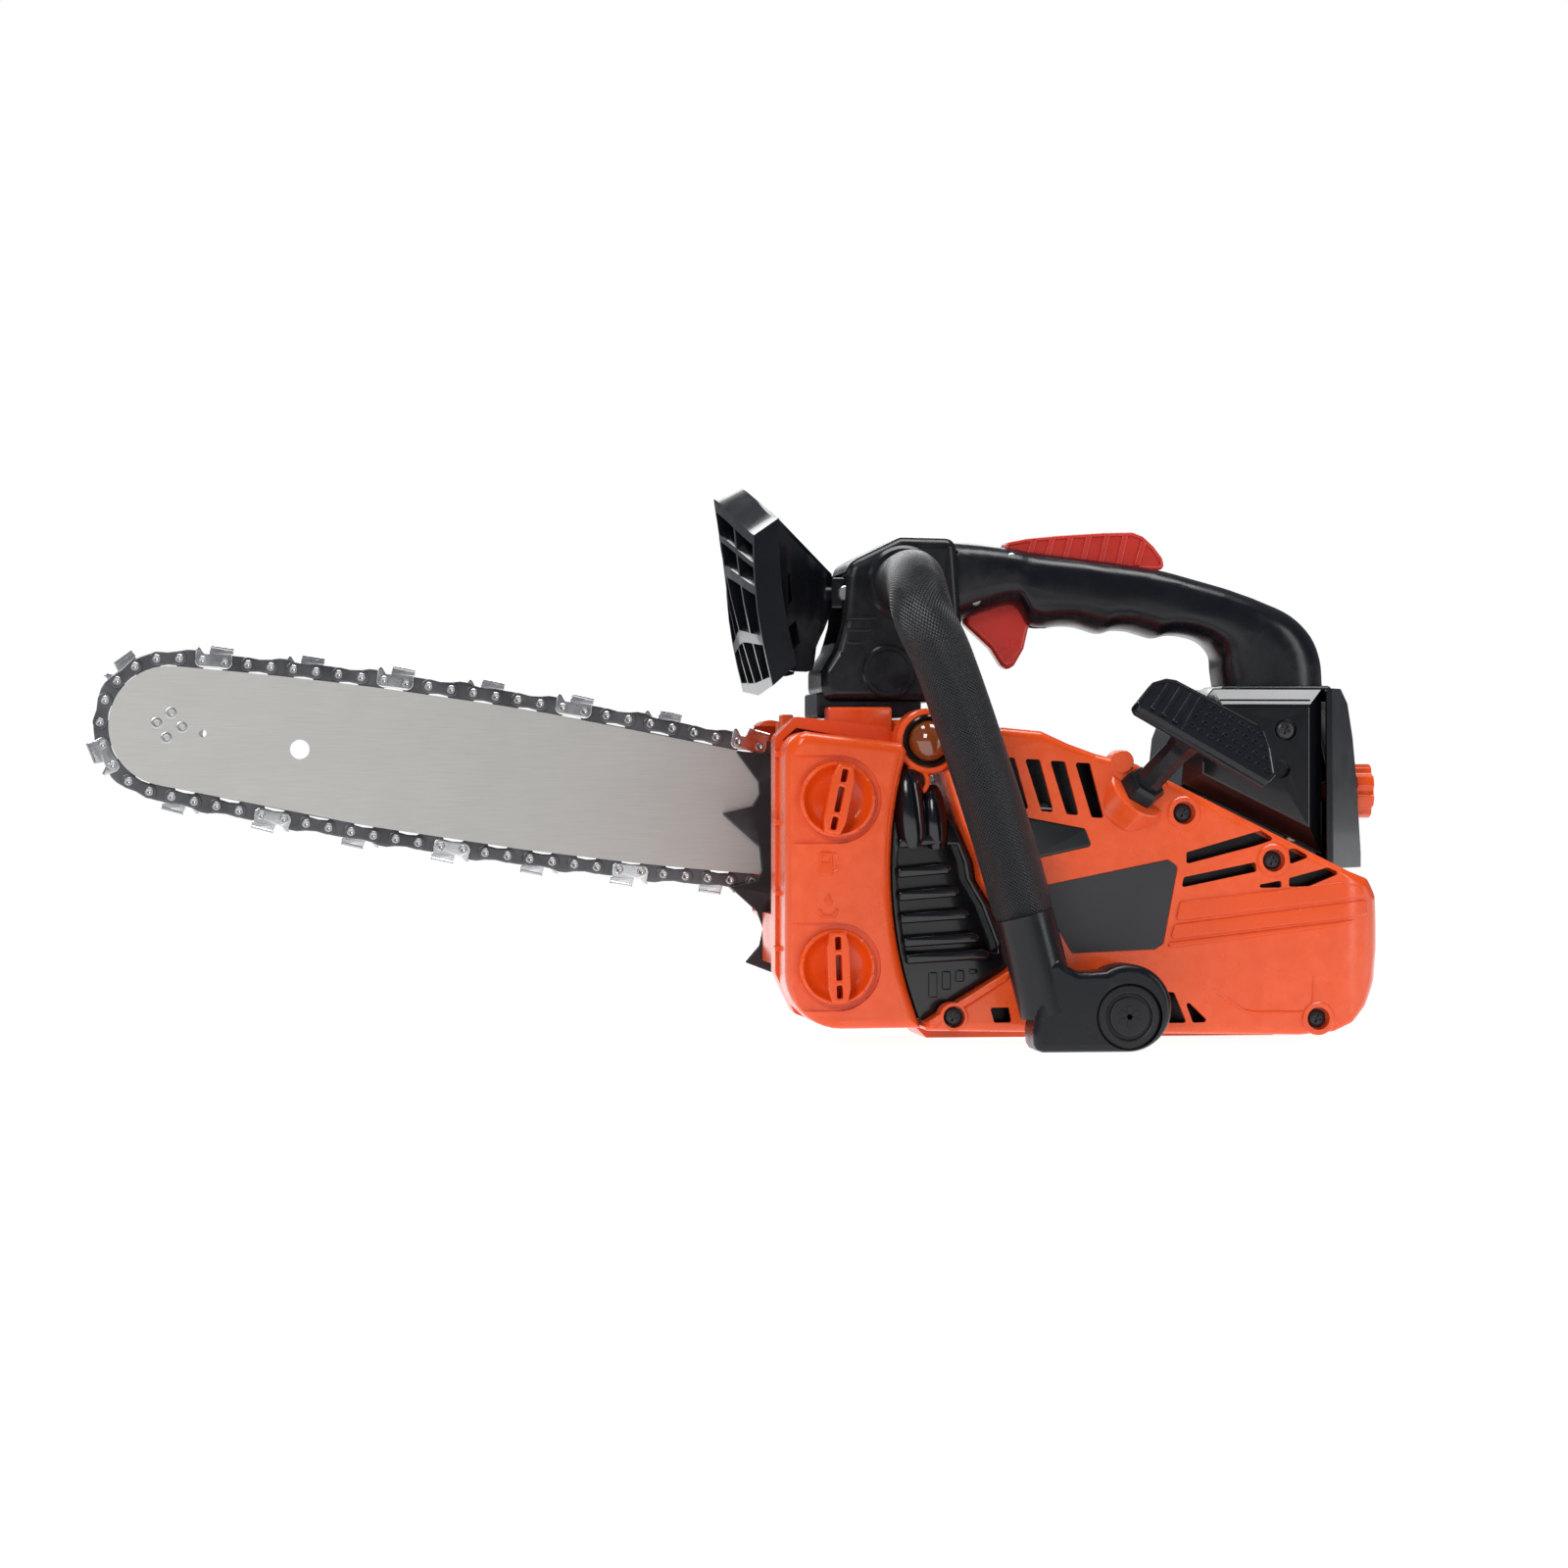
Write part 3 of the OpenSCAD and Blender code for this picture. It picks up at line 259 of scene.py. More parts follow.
    def mesh(self, name):
        bm = self.bm
        bmesh.ops.remove_doubles(bm, verts=bm.verts[:], dist=1e-4)
        bmesh.ops.recalc_face_normals(bm, faces=bm.faces[:])
        for v in bm.verts:
            v.co *= MM
        data = bpy.data.meshes.new(name)
        bm.to_mesh(data)
        bm.free()
        return data

    def make(self, name, body, material, replaces=None, angle=CRISP, cut=None, bevel=0):
        """The finished object, smooth-shaded with crisp edges, riding on its body."""
        obj = bpy.data.objects.new(name, self.mesh(name))
        scene.collection.objects.link(obj)
        if cut is not None:
            tool = bpy.data.objects.new("cutter", cut.mesh("cutter"))
            scene.collection.objects.link(tool)
            mod = obj.modifiers.new("cut", "BOOLEAN")
            mod.operation, mod.object, mod.solver, mod.use_self = "DIFFERENCE", tool, "EXACT", True
            settle(obj)
            bpy.data.objects.remove(tool)
        if bevel:
            soften(obj, bevel)
            settle(obj)
        finish_surface(obj, angle)
        obj.data.materials.clear()
        obj.data.materials.append(material)
        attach(obj, body)
        if replaces:
            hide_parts(replaces)
        return obj


def settle(obj):
    """Applies the object's modifiers."""
    view = bpy.context.evaluated_depsgraph_get()
    data = bpy.data.meshes.new_from_object(obj.evaluated_get(view))
    obj.modifiers.clear()
    obj.data = data


def soften(obj, width):
    """Merges flat faces and rounds the sharp edges."""
    mod = obj.modifiers.new("weld", "WELD")
    mod.merge_threshold = 0.00001
    mod = obj.modifiers.new("flat", "DECIMATE")
    mod.decimate_type, mod.angle_limit = "DISSOLVE", radians(1.5)
    mod = obj.modifiers.new("round", "BEVEL")
    mod.width, mod.segments, mod.limit_method, mod.angle_limit = width * MM, 2, "ANGLE", radians(35)
    mod.use_clamp_overlap = True
    mod.miter_outer = "MITER_ARC"


def finish_surface(obj, angle):
    """Smooth shading, crisp where two faces meet at more than the angle in degrees."""
    obj.data.polygons.foreach_set("use_smooth", [True] * len(obj.data.polygons))
    obj.data.set_sharp_from_angle(angle=radians(angle))
    mod = obj.modifiers.new("normals", "WEIGHTED_NORMAL")
    mod.keep_sharp = True


# ---------------------------------------------------------------- materials

GRAIN_DEPTH, KNURL_DEPTH = 0.00006, 0.0005  # metres


def surface(name, color, rough, metallic=0.0, coat=0.0, coat_rough=0.05, grain=2500, bump=0.02, mottle=0.05,
            rough_spread=0.05, wear_and_highlight=0.0, brushed=None, specular=0.5, knurl=None):
    """A moulded or metal surface: slow colour and gloss changes, fine grain, and edges lightened as rubbed
    wear and as painted highlight.
    """
    m = bpy.data.materials.new(name)
    m.use_nodes = True
    nodes, link = m.node_tree.nodes, m.node_tree.links.new
    bsdf = nodes["Principled BSDF"]
    bsdf.inputs["Metallic"].default_value = metallic
    bsdf.inputs["Coat Weight"].default_value = coat
    bsdf.inputs["Coat Roughness"].default_value = coat_rough
    bsdf.inputs["Specular IOR Level"].default_value = specular
    where = nodes.new("ShaderNodeTexCoord").outputs["Object"]
    if brushed:
        stretch = nodes.new("ShaderNodeMapping")
        stretch.inputs["Rotation"].default_value = (0, radians(brushed[0]), 0)
        stretch.inputs["Scale"].default_value = brushed[1]
        link(where, stretch.inputs["Vector"])
        fine_where = stretch.outputs["Vector"]
    else:
        fine_where = where

    def noise(scale, detail, vector):
        n = nodes.new("ShaderNodeTexNoise")
        n.inputs["Scale"].default_value, n.inputs["Detail"].default_value = scale, detail
        link(vector, n.inputs["Vector"])
        return n.outputs["Fac"]

    def mix(a, b, factor):
        n = nodes.new("ShaderNodeMix")
        n.data_type = "RGBA"
        for socket, value in ((n.inputs[6], a), (n.inputs[7], b), (n.inputs[0], factor)):
            if isinstance(value, bpy.types.NodeSocket):
                link(value, socket)
            else:
                socket.default_value = value
        return n.outputs[2]

    def spread(value, low, high, a=0.3, b=0.7):
        n = nodes.new("ShaderNodeMapRange")
        for key, v in (("From Min", a), ("From Max", b), ("To Min", low), ("To Max", high)):
            n.inputs[key].default_value = v
        link(value, n.inputs["Value"])
        return n.outputs["Result"]
    dark = [c * (1 - mottle) for c in color] + [1]
    light = [min(1, c * (1 + mottle)) for c in color] + [1]
    tone = mix(dark, light, spread(noise(45, 4, where), 0, 1))
    if brushed:
        tone = mix(tone, [c * 0.86 for c in color] + [1], spread(noise(60, 5, fine_where), 0, 0.8))
    # convex edges (pointiness) lightened towards a paler colour: partly rubbed wear, partly painted highlight
    if wear_and_highlight:
        edge = nodes.new("ShaderNodeNewGeometry").outputs["Pointiness"]
        rub_and_highlight = nodes.new("ShaderNodeMath")
        rub_and_highlight.operation = "MULTIPLY"
        link(spread(edge, 0, wear_and_highlight, 0.53, 0.62), rub_and_highlight.inputs[0])
        link(spread(noise(220, 3, where), 0.3, 1), rub_and_highlight.inputs[1])
        tone = mix(tone, [min(1, c * 1.5 + 0.08) for c in color] + [1], rub_and_highlight.outputs[0])
    link(tone, bsdf.inputs["Base Color"])
    link(spread(noise(90, 5, fine_where if brushed else where), max(0.02, rough - rough_spread),
                rough + rough_spread), bsdf.inputs["Roughness"])
    height = noise(60 if brushed else grain, 3, fine_where)
    depth = GRAIN_DEPTH
    if knurl:
        uv = nodes.new("ShaderNodeUVMap")
        uv.uv_map = "knurl"
        parts = nodes.new("ShaderNodeSeparateXYZ")
        link(uv.outputs["UV"], parts.inputs[0])

        def maths(op, a, b=None):
            n = nodes.new("ShaderNodeMath")
            n.operation = op
            for k, value in enumerate((a, b)):
                if isinstance(value, bpy.types.NodeSocket):
                    link(value, n.inputs[k])
                elif value is not None:
                    n.inputs[k].default_value = value
            return n.outputs[0]
        ridges = [maths("ABSOLUTE", maths("SINE", maths("MULTIPLY", maths(way, *parts.outputs[:2]), knurl)))
                  for way in ("ADD", "SUBTRACT")]
        height = maths("MINIMUM", *ridges)
        depth = KNURL_DEPTH
    relief = nodes.new("ShaderNodeBump")
    relief.inputs["Strength"].default_value = min(1, bump * 10)
    relief.inputs["Distance"].default_value = depth
    link(height, relief.inputs["Height"])
    link(relief.outputs["Normal"], bsdf.inputs["Normal"])
    return m


ORANGE = surface("orange_plastic", (0.76, 0.074, 0.005), 0.26, specular=0.4, coat=0.25, coat_rough=0.12,
                 bump=0.012, wear_and_highlight=0.25)
BLACK = surface("black_plastic", (0.0045, 0.005, 0.008), 0.27, specular=0.35, bump=0.02, rough_spread=0.06,
                wear_and_highlight=0.12)
GLOSS = surface("gloss_black", (0.004, 0.0045, 0.007), 0.17, specular=0.4, coat=0.3, bump=0.006,
                rough_spread=0.03, wear_and_highlight=0.1)
GRIP = surface("grip_black", (0.009, 0.0095, 0.012), 0.34, specular=0.45, bump=0.25, knurl=2 * pi / 2.9)
RED = surface("red_plastic", (0.54, 0.024, 0.013), 0.28, coat=0.2, coat_rough=0.12, bump=0.012, wear_and_highlight=0.2)
ALLOY = surface("alloy", (0.50, 0.51, 0.52), 0.46, metallic=1.0, grain=900, bump=0.06, wear_and_highlight=0.3)
STEEL = surface("steel", (0.46, 0.46, 0.46), 0.30, metallic=1.0, grain=1500, bump=0.02, wear_and_highlight=0.3)
DARK = surface("dark_steel", (0.022, 0.022, 0.026), 0.36, metallic=0.3, grain=900, bump=0.03, wear_and_highlight=0.5)
LINK = surface("link_steel", (0.12, 0.12, 0.13), 0.30, metallic=0.9, grain=1200, bump=0.03, mottle=0.3,
               wear_and_highlight=0.6)
BAR = surface("bar_steel", (0.50, 0.495, 0.475), 0.42, metallic=0.55, mottle=0.03, wear_and_highlight=0.3,
              brushed=(8.6, (1.2, 60, 60)))
CHROME = surface("chrome", (0.72, 0.72, 0.73), 0.16, metallic=1.0, grain=1200, bump=0.01, wear_and_highlight=0.2)
RUBBER = surface("rubber", (0.007, 0.007, 0.009), 0.5, specular=0.4, grain=1400, bump=0.05)
FELT = surface("felt", (0.66, 0.62, 0.50), 0.9, grain=1800, bump=0.1, mottle=0.1)
AMBER = surface("amber", (0.20, 0.045, 0.010), 0.07, coat=1.0, coat_rough=0.02, bump=0.002, rough_spread=0.01)
COAT = surface("muffler_coat", (0.10, 0.10, 0.105), 0.5, metallic=0.6, grain=700, bump=0.08, mottle=0.2)
LABEL = surface("label", (0.026, 0.024, 0.027), 0.38, bump=0.01, mottle=0.08)

# ---------------------------------------------------------------- shared shapes, in mm

CRANK = (-3.5, 75.2)
BAR_Y = 44.0
TILT = radians(8.6)


def engine_arc(r, z0, z1, n=14):
    """The curved joint between the tank and the engine side, from z0 to z1."""
    heights = [z0 + (z1 - z0) * i / n for i in range(n + 1)]
    return [(107 - sqrt(r * r - (z - 70) ** 2), z) for z in heights]


def towards(point, direction, turn):
    """A frame at the point, +Z along the direction."""
    d = Vector(direction).normalized()
    return (Matrix.Translation(point) @ Matrix.Rotation(atan2(d.y, d.x), 4, "Z")
            @ Matrix.Rotation(acos(d.z), 4, "Y") @ Matrix.Rotation(radians(turn), 4, "Z"))


def screw(heads, crosses, x, z, y):
    """A pan head with its shank, its face at y, and the cross to cut into it."""
    pan = [(0, y + 2.8), (3.7, y + 2.8), (3.7, y + 0.9), (3.2, y + 0.3), (2.3, y), (0, y)]
    heads.lathe(pan, x, z, 28)
    heads.lathe([(0, y + 2), (2.4, y + 2), (2.4, y + 11.6), (1.6, y + 12), (0, y + 12)], x, z, 20)
    for a in (20, 110):
        at = (Matrix.Translation((x, 0, z)) @ Matrix.Rotation(radians(a), 4, "Y")
              @ Matrix.Translation((-x, 0, -z)))
        crosses.box((x - 1.9, y - 1, z - 0.45), (x + 1.9, y + 1.3, z + 0.45), 0.15, at=at)


# ---------------------------------------------------------------- the engine and other CAD-built pieces

CAD_LOOKS = {
    ORANGE: ["chassis", "tank_back", "cover_knob"],
    GLOSS: ["filter_cover"],
    BAR: ["guide_bar"],
    ALLOY: ["crankcase_left", "crankcase_right", "piston", "engine_cylinder", "flywheel",
            "carburettor", "oil_pump"],
    STEEL: ["crank_bearings", "crankshaft", "connecting_rod", "crank_pin", "piston_pin", "spark_plug",
            "throttle_shaft", "choke_shaft", "recoil_spring", "clutch_hub", "clutch_drum",
            "brake_band", "bar_studs", "bar_nuts", "tension_screw", "tension_block",
            "nose_sprocket"],
    RUBBER: ["plug_cap", "intake_boot", "starter_rope"],
    BLACK: ["ignition_coil", "starter_pulley"],
    COAT: ["muffler"],
    FELT: ["air_filter"],
}
LARGE = ("chassis", "tank_back", "muffler", "crankcase_left", "crankcase_right")
for material, names in CAD_LOOKS.items():
    for name in names:
        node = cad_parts[name]
        node.data.materials.clear()
        node.data.materials.append(material)
        soften(node, 0.8 if name in LARGE else 0.35)
        mod = node.modifiers.new("smooth", "WEIGHTED_NORMAL")
        mod.keep_sharp = True

# ---------------------------------------------------------------- tank, caps and primer

TANK_FACE, COVER_FACE = -66, -70
CAPS = (("fuel_cap", "fuel_lid", -84.4, 97.2, -12), ("oil_cap", "oil_lid", -84.6, 31.6, 2))
PRIMER, BOSS = (-46.9, 120.2), (-52.5, 104.4)


def spun(x, z, turn=0):
    """A frame at (x, z), turned counter-clockwise as seen from the front."""
    return Matrix.Translation((x, 0, z)) @ Matrix.Rotation(radians(-turn), 4, "Y")


tank_line = (arc(-82.5, 29.2, 22, 180, 270, 10) + engine_arc(170, 7.4, 116) + [(-58.5, 119.3)]
             + arc(-95.5, 114.8, 9, 96, 180, 8))
tank, cut = Part(), Part()
tank.tray(tank_line, -40, TANK_FACE, 4)
tank.lathe([(0, -44), (12.9, -44), (12.9, -58.3), (12.3, -59), (10.9, -59), (10.4, -58.5),
            (10.4, -47), (0, -47)], *PRIMER, n=56)
tank.lathe([(0, -40), (6.2, -40), (6.2, -57.4), (5.7, -58), (4.6, -58), (4.2, -57.5), (4.2, -54), (0, -54)],
           *BOSS)
tank.box((-101.5, -24, 112), (-96.5, -16, 131), 0.8)
tank.box((-97, -30, 116), (-50, 22, 129), 1.5)
tank.box((-84, -34, 118), (-58, -22, 134), 1.2)
tank.plate(rounded([(-60, 100), (-43, 107.6), (-40.6, 119), (-60, 119)], 2), -52, -44, 1)
for _, _, x, z, _ in CAPS:
    cut.plate([(-102.7, z - 17.4), *arc(x, z, 17.4, -90, 90, 24), (-102.7, z + 17.4)], -70, -64.2, 0)
    cut.plate(circle(x, z, 12.06, 48), -68, -50, 0)
    cut.lathe([(15.3, -70), (16.2, -70), (16.2, -63.9), (15.3, -63.9)], x, z, 72, closed=True)
for z in (118.4, 62.2, 10.2):
    cut.plate([(-105.5, z - 0.35), (-59, z - 0.35), (-59, z + 0.35), (-105.5, z + 0.35)], -44.4, -43.4, 0)
tank.slice_x([-103.5, -102, -100, -98.5, -97])


def tank_front(v):
    """Rounds the front edge of the tank's face."""
    return Vector((v.x, v.y + 3 * ((-97 - v.x) / 7.5) ** 2, v.z)) if v.x < -97 and v.y < -60 else v.copy()


tank.bend(tank_front)
tank.make("tank", "root", ORANGE, "tank_shell", cut=cut, bevel=0.4)

marks = Part()
marks.plate(rounded([(-91.6, 67.4), (-86.4, 67.4), (-86.4, 76.6), (-91.6, 76.6)], 0.8), -66.5, -65.4, 0.25,
            holes=[rounded([(-90.5, 72.6), (-87.5, 72.6), (-87.5, 75.5), (-90.5, 75.5)], 0.3)])
marks.tube([(-86.4, -66, 69), (-84.6, -66, 69.4), (-84.2, -66, 73), (-85, -66, 75.4),
            (-86, -66, 76.2)], 0.5, 8)
marks.plate(rounded([(-88, 60.6, 0.2), (-86.2, 57.6, 1.2), (-86.8, 55.6, 1.4), (-89.2, 55.6, 1.4),
                     (-89.8, 57.6, 1.2)], 0.5), -66.5, -65.4, 0.25)
marks.plate(rounded([(-92, 54.2), (-91, 51), (-85.4, 51), (-84, 54.4), (-85.2, 54.4), (-86.3, 52.2),
                     (-90, 52.2), (-90.8, 54.2)], 0.3), -66.5, -65.4, 0.2)
marks.make("tank_marks", "root", ORANGE)

gussets = Part()
for z in (115, 88, 60, 38):
    gussets.box((-106.6, -45.5, z - 1), (-103.4, -39.6, z + 1), 0.4)
gussets.make("tank_gussets", "root", ORANGE)

for node, body, x, z, turn in CAPS:
    cap = Part().lathe([(0, -63.4), (9.4, -63.6), (12.2, -65.2), (13.6, -67.5), (14.7, -67.2), (15, -66.6),
                        (15, -64.4), (12, -64.4), (12, -56.4), (11.5, -56), (0, -56)], x, z, 72)
    wing = [(-3.1, -13.6), (3.1, -13.6), (4.4, -8.5), (4.4, 8.5), (3.1, 13.6), (-3.1, 13.6),
            (-4.4, 8.5), (-4.4, -8.5)]
    slots = [rounded([(-1.1, a), (1.1, a), (1.1, b), (-1.1, b)], 0.6)
             for a, b in ((-12, -7), (-5, 5), (7, 12))]
    cap.plate(rounded(wing, 1.2), -72.4, -62.8, 0.7, holes=slots, at=spun(x, z, turn))
    for k in range(12):
        cap.box((13.4, -67.8, -0.7), (14.9, -66.6, 0.7), 0.3, at=spun(x, z, turn + 15 + 30 * k))
    cap.make(node + "_body", body, ORANGE, node)

ring = Part().lathe([(8.6, -58.1), (10.2, -58.1), (10.2, -59.4), (9.7, -59.9), (9.1, -59.8), (8.6, -59.2)],
                    *PRIMER, n=56, closed=True)
ring.make("primer_surround", "root", GLOSS, "primer_ring")
dome = [(8.3 * cos(a * pi / 28), -57 - 8.3 * sin(a * pi / 28)) for a in range(14)]
bulb = Part().lathe([(0, -57)] + dome + [(0, -65.3)], *PRIMER, n=56)
bulb.make("primer_dome", "bulb", AMBER, "primer_bulb", angle=60)

# ---------------------------------------------------------------- engine side

side_line = engine_arc(169.4, 10.5, 98) + [
    (-44, 97), (-40, 92), (-36, 87), (-29.6, 72), (-28.6, 65), (-22.4, 55), (-16.5, 40), (-15, 31.5),
    (-48, 10.5)]
window = engine_arc(166, 37, 79, 8) + [
    (-35.6, 79), (-33, 72), (-32, 65.6), (-25.8, 55), (-20, 40), (-19.6, 37)]
side = Part().plate(side_line, -57, -42, 1.2, holes=[window])
for z, left, right in ((80.5, -59.6, -41), (68.8, -60, -38), (59.7, -59.6, -35), (50.8, -59, -31),
                       (41.5, -57.6, -27), (34.9, -56.6, -23)):
    side.plate(rounded([(left, z - 2.7), (right - 1, z - 0.9), (right + 0.6, z + 1.8), (right - 2.6, z + 3.4),
                        (left, z + 1.4)], 1.5), -60.4, -48, 1.2)
for x, lean, radius, low, high in ((-53.6, -1.6, 6.4, 80, 108), (-44, -1, 4.8, 79, 101)):
    side.tube(spline([(x + 0.6, -55, low), (x, -56.6, low + 5), (x + lean / 2, -56.8, (low + high) / 2),
                      (x + lean, -55.6, high - 4), (x + lean, -52, high)], 4),
              [radius * sin(pi * (0.3 + 0.55 * i / 16)) ** 0.6 for i in range(17)], 28)
for k in range(4):
    side.box((-47 + 5.4 * k, -58.2, 19 + 3.1 * k), (-43.6 + 5.4 * k, -56.6, 29 + 0.4 * k), 0.5)
side.plate(inset(turned(side_line, 1), 2.5), -48.8, -46.8, 0.3)
side.make("engine_side", "root", GLOSS, "cylinder_cover")

# ---------------------------------------------------------------- starter cover

COVER_LINE = [(*p, 0) for p in arc(*PRIMER, 13.4, -68, -10, 10)] + [
    (-20, 125.5), (-4, 124), (7, 119), (18, 115), (34, 111.2), (47, 104.8), (88.5, 84), (120.6, 68.5),
    (129, 65.5), (134, 58), (135.5, 47), (135.5, 38), (133, 25), (128, 15), (122, 8.5), (114, 5),
    (100, 3.8), (46, 4.2), (-50, 6.5), (-50, 9.5), (-15, 30.6), (-15.5, 40), (-21.5, 55), (-27.8, 65),
    (-28.8, 72), (-35.2, 87), (-39, 98)]
COVER_SCREWS, HOUSING_SCREW = ((52.8, 91.8), (88.9, 73), (107, 10.4)), (101.4, 125)
VENTS = [
    [(53.8, 76.3), (84.2, 85.0), (89.6, 81.3), (82, 78.8), (53.8, 71.6)],
    [(52.8, 66.5), (81.8, 72.4), (82.3, 68.6), (51.8, 62.3)],
    [(95, 77.7), (98.1, 77.7), (104, 74.4), (95.6, 71.4)],
    [(95.2, 66), (111, 70.2), (116.3, 67.9), (103.4, 62.7), (95.2, 62.5)],
    [(76.5, 62.2), (92, 65.1), (92.5, 62.2)],
    [(46, 21.5), (49, 21), (54, 9), (46.5, 9)],
    [(52.5, 19.5), (63, 9.3), (56.5, 9)],
    [(-24.7, 15.6), (-17, 15.6), (-16, 9.6), (-23, 9.6)]]
SLOT = ((0.2, 113.8, 0.7), (6.2, 113.5, 0.7), (11.8, 93.3, 1.2), (6.8, 93.7, 1.2))
VENTS += [[(x + 10 * i - 21, z - fall * i) for x, z, fall in SLOT] for i in range(4)]
BANDS = [[(51.1, 56.9), (116.3, 64.4), (125, 62.5), (127.3, 58.6), (49.3, 49.2)],
         [(49, 48), (127.3, 57.4), (128.3, 51.3), (47.2, 42)],
         [(47, 41), (128.5, 50.3), (114.4, 47), (46.2, 38.6)]]
INSERT = [(-13.5, 90.8), (13.3, 85.7), (16, 78.7), (-5.8, 74)]
LABEL_LINE = [(-7, 62.5), (46.4, 73.3), (50.2, 70.8), (44.4, 40.3), (41, 38.2), (8, 36.8)]
PULL = ((34.2, -68, 99.3), (0.45, -0.65, 0.61))
UPRIGHT = Matrix.Rotation(pi / 2, 4, "X")
REAR_BENDS = [114 + 1.7 * k for k in range(13)]


def rear_plan(v):
    """Rounds the rear corner of the cover, as seen from above."""
    reach = min(max(v.x - 115, 0), 20.4)
    fall = 20.5 - sqrt(20.5 ** 2 - reach ** 2)
    return Vector((v.x, -33 + (v.y + 33) * (37 - fall) / 37, v.z)) if v.y < -33 else v.copy()


cover, cut = Part(), Part()
cover.tray(rounded(COVER_LINE, 3.6), -33, COVER_FACE, 3.5)
for x, z in COVER_SCREWS:
    cover.lathe([(0, -35), (6.6, -35), (6.6, -70.4), (6.1, -70.9), (0, -70.9)], x, z)
    cut.lathe([(0, -74), (4.5, -74), (4.5, -66), (2.5, -66), (2.5, -30), (0, -30)], x, z)
cover.lathe([(0, -60.5), (5.6, -60.5), (5.6, -70.5), (5.1, -70.9), (0, -70.9)], -39, 12)
cut.lathe([(0, -74), (4.3, -74), (4.3, -66), (2.5, -66), (2.5, -56), (0, -56)], -39, 12)
cover.lathe([(0, -60), (4.6, -60), (4.6, -70.6), (4.2, -71), (0, -71)], 28, 112, 24)
for band in BANDS:
    cover.plate(rounded(band, 1.2), -70.9, -68.5, 0.5)
cover.plate(rounded([(-50, 9.8), (-46, 9), (-18, 26.5), (-15.6, 31)], 1), -71, -66, 0.6)
for vent in VENTS:
    cut.plate(rounded(vent, 0.9), -76, -60, 0)
cut.plate(rounded(INSERT, 1.4), -76, COVER_FACE + 1.4, 0)
recess = [(x + s, z + t) for (x, z), s, t in zip(LABEL_LINE, (-.3, 0, .3, .3, .1, -.1),
                                                 (.1, .3, .1, -.1, -.3, -.3))]
cut.plate(rounded(recess, 1.2), -76, COVER_FACE + 0.5, 0)
pull_at = towards(*PULL, 0) @ UPRIGHT
cut.lathe([(0, -44), (9.4, -44), (9.4, -8), (3, -8), (3, 30), (0, 30)],
          at=pull_at @ Matrix.Rotation(pi, 4, "X"))
cover.lathe([(0, -9), (12.4, -9), (12.4, 1), (11.8, 1.6), (0, 1.6)], at=pull_at)
cover.slice_x(REAR_BENDS).bend(rear_plan)
cover.make("starter_housing", "root", ORANGE, "starter_cover", cut=cut, bevel=0.35)

Part().plate(rounded(INSERT, 1.4), -69.9, -68.5, 0.5).make("cover_insert", "root", GLOSS)
liner = Part()
for panel, y in (([(46, 58), (124, 58), (119, 66), (88, 82), (48, 102), (44, 84)], -60),
                 ([(-26, 88), (28, 86), (30, 110), (-4, 119), (-28, 118)], -52),
                 ([(40, 7), (68, 7), (66, 26), (40, 26)], -55),
                 ([(-27, 8.6), (-13, 8.6), (-13, 20), (-24, 19)], -58)):
    liner.plate(rounded(panel, 2), y, y + 1.4, 0.3)
liner.make("vent_liner", "root", BLACK)
Part().tube(spline([(65, -69.7, 22), (72, -69.8, 17), (79, -69.8, 13.4), (90, -69.8, 13), (101, -69.8, 13.1),
                    (104.6, -69.8, 16), (105.3, -69.7, 27.2)], 5), 0.7, 8).make("cover_line", "root", ORANGE)
Part().plate(rounded(LABEL_LINE, 2), COVER_FACE - 0.1, COVER_FACE + 0.4, 0.12).make(
    "label", "root", LABEL, "label_plate")

screws, crosses = Part(), Part()
for x, z, y in [(x, z, -68) for x, z in COVER_SCREWS] + [(-39, 12, -69), (*BOSS, -57),
                                                         (*HOUSING_SCREW, -40.2)]:
    screw(screws, crosses, x, z, y)
screws.make("screws", "root", DARK, "cover_screws", cut=crosses)

# ---------------------------------------------------------------- starter grip

grip_at = towards(*PULL, 54)
face_at = grip_at @ Matrix.Rotation(-pi / 2, 4, "X")
grip = Part()
grip.lathe([(0, -3), (8.2, -3), (8.6, -2), (8.6, 6.2), (7.4, 8), (0, 8)], n=6, at=grip_at @ UPRIGHT)
grip.lathe([(0, 7), (5.6, 7), (5.6, 28), (6.4, 34), (8.2, 39.4), (0, 39.4)], n=8, at=grip_at @ UPRIGHT)
GRIP_LINE = [(-30.5, -9), (-29, -11.5), (32, -12), (35.3, -5), (33, 9), (29.5, 18), (26, 20),
             (-13.5, 17.5), (-18, 15), (-24, 8)]
grip_loop = rounded(GRIP_LINE, 2)
grip.plate(grip_loop, -44, -39, 1.6, at=face_at)
grip.plate(grip_loop, -44.5, -41, 0.5, holes=[inset(turned(grip_loop, 1), 1.5)[::-1]], at=face_at)
grip.plate(rounded([(-9.9, -10.6), (-8.6, -10.6), (-0.4, 17), (-1.8, 17)], 0.4), -44.5, -41, 0.4, at=face_at)
for pad in ([(-24.6, -8.4), (-22.2, -8.4), (-15.6, 12.4), (-17.6, 12.4)],
            [(-19.4, -8.4), (-17, -8.4), (-9.8, 14.4), (-12, 14.4)],
            [(-14.2, -8.4), (-11.8, -8.4), (-4.4, 14.8), (-6.6, 14.8)]):
    grip.plate(rounded(pad, 0.8), -44.9, -42, 0.5, at=face_at)
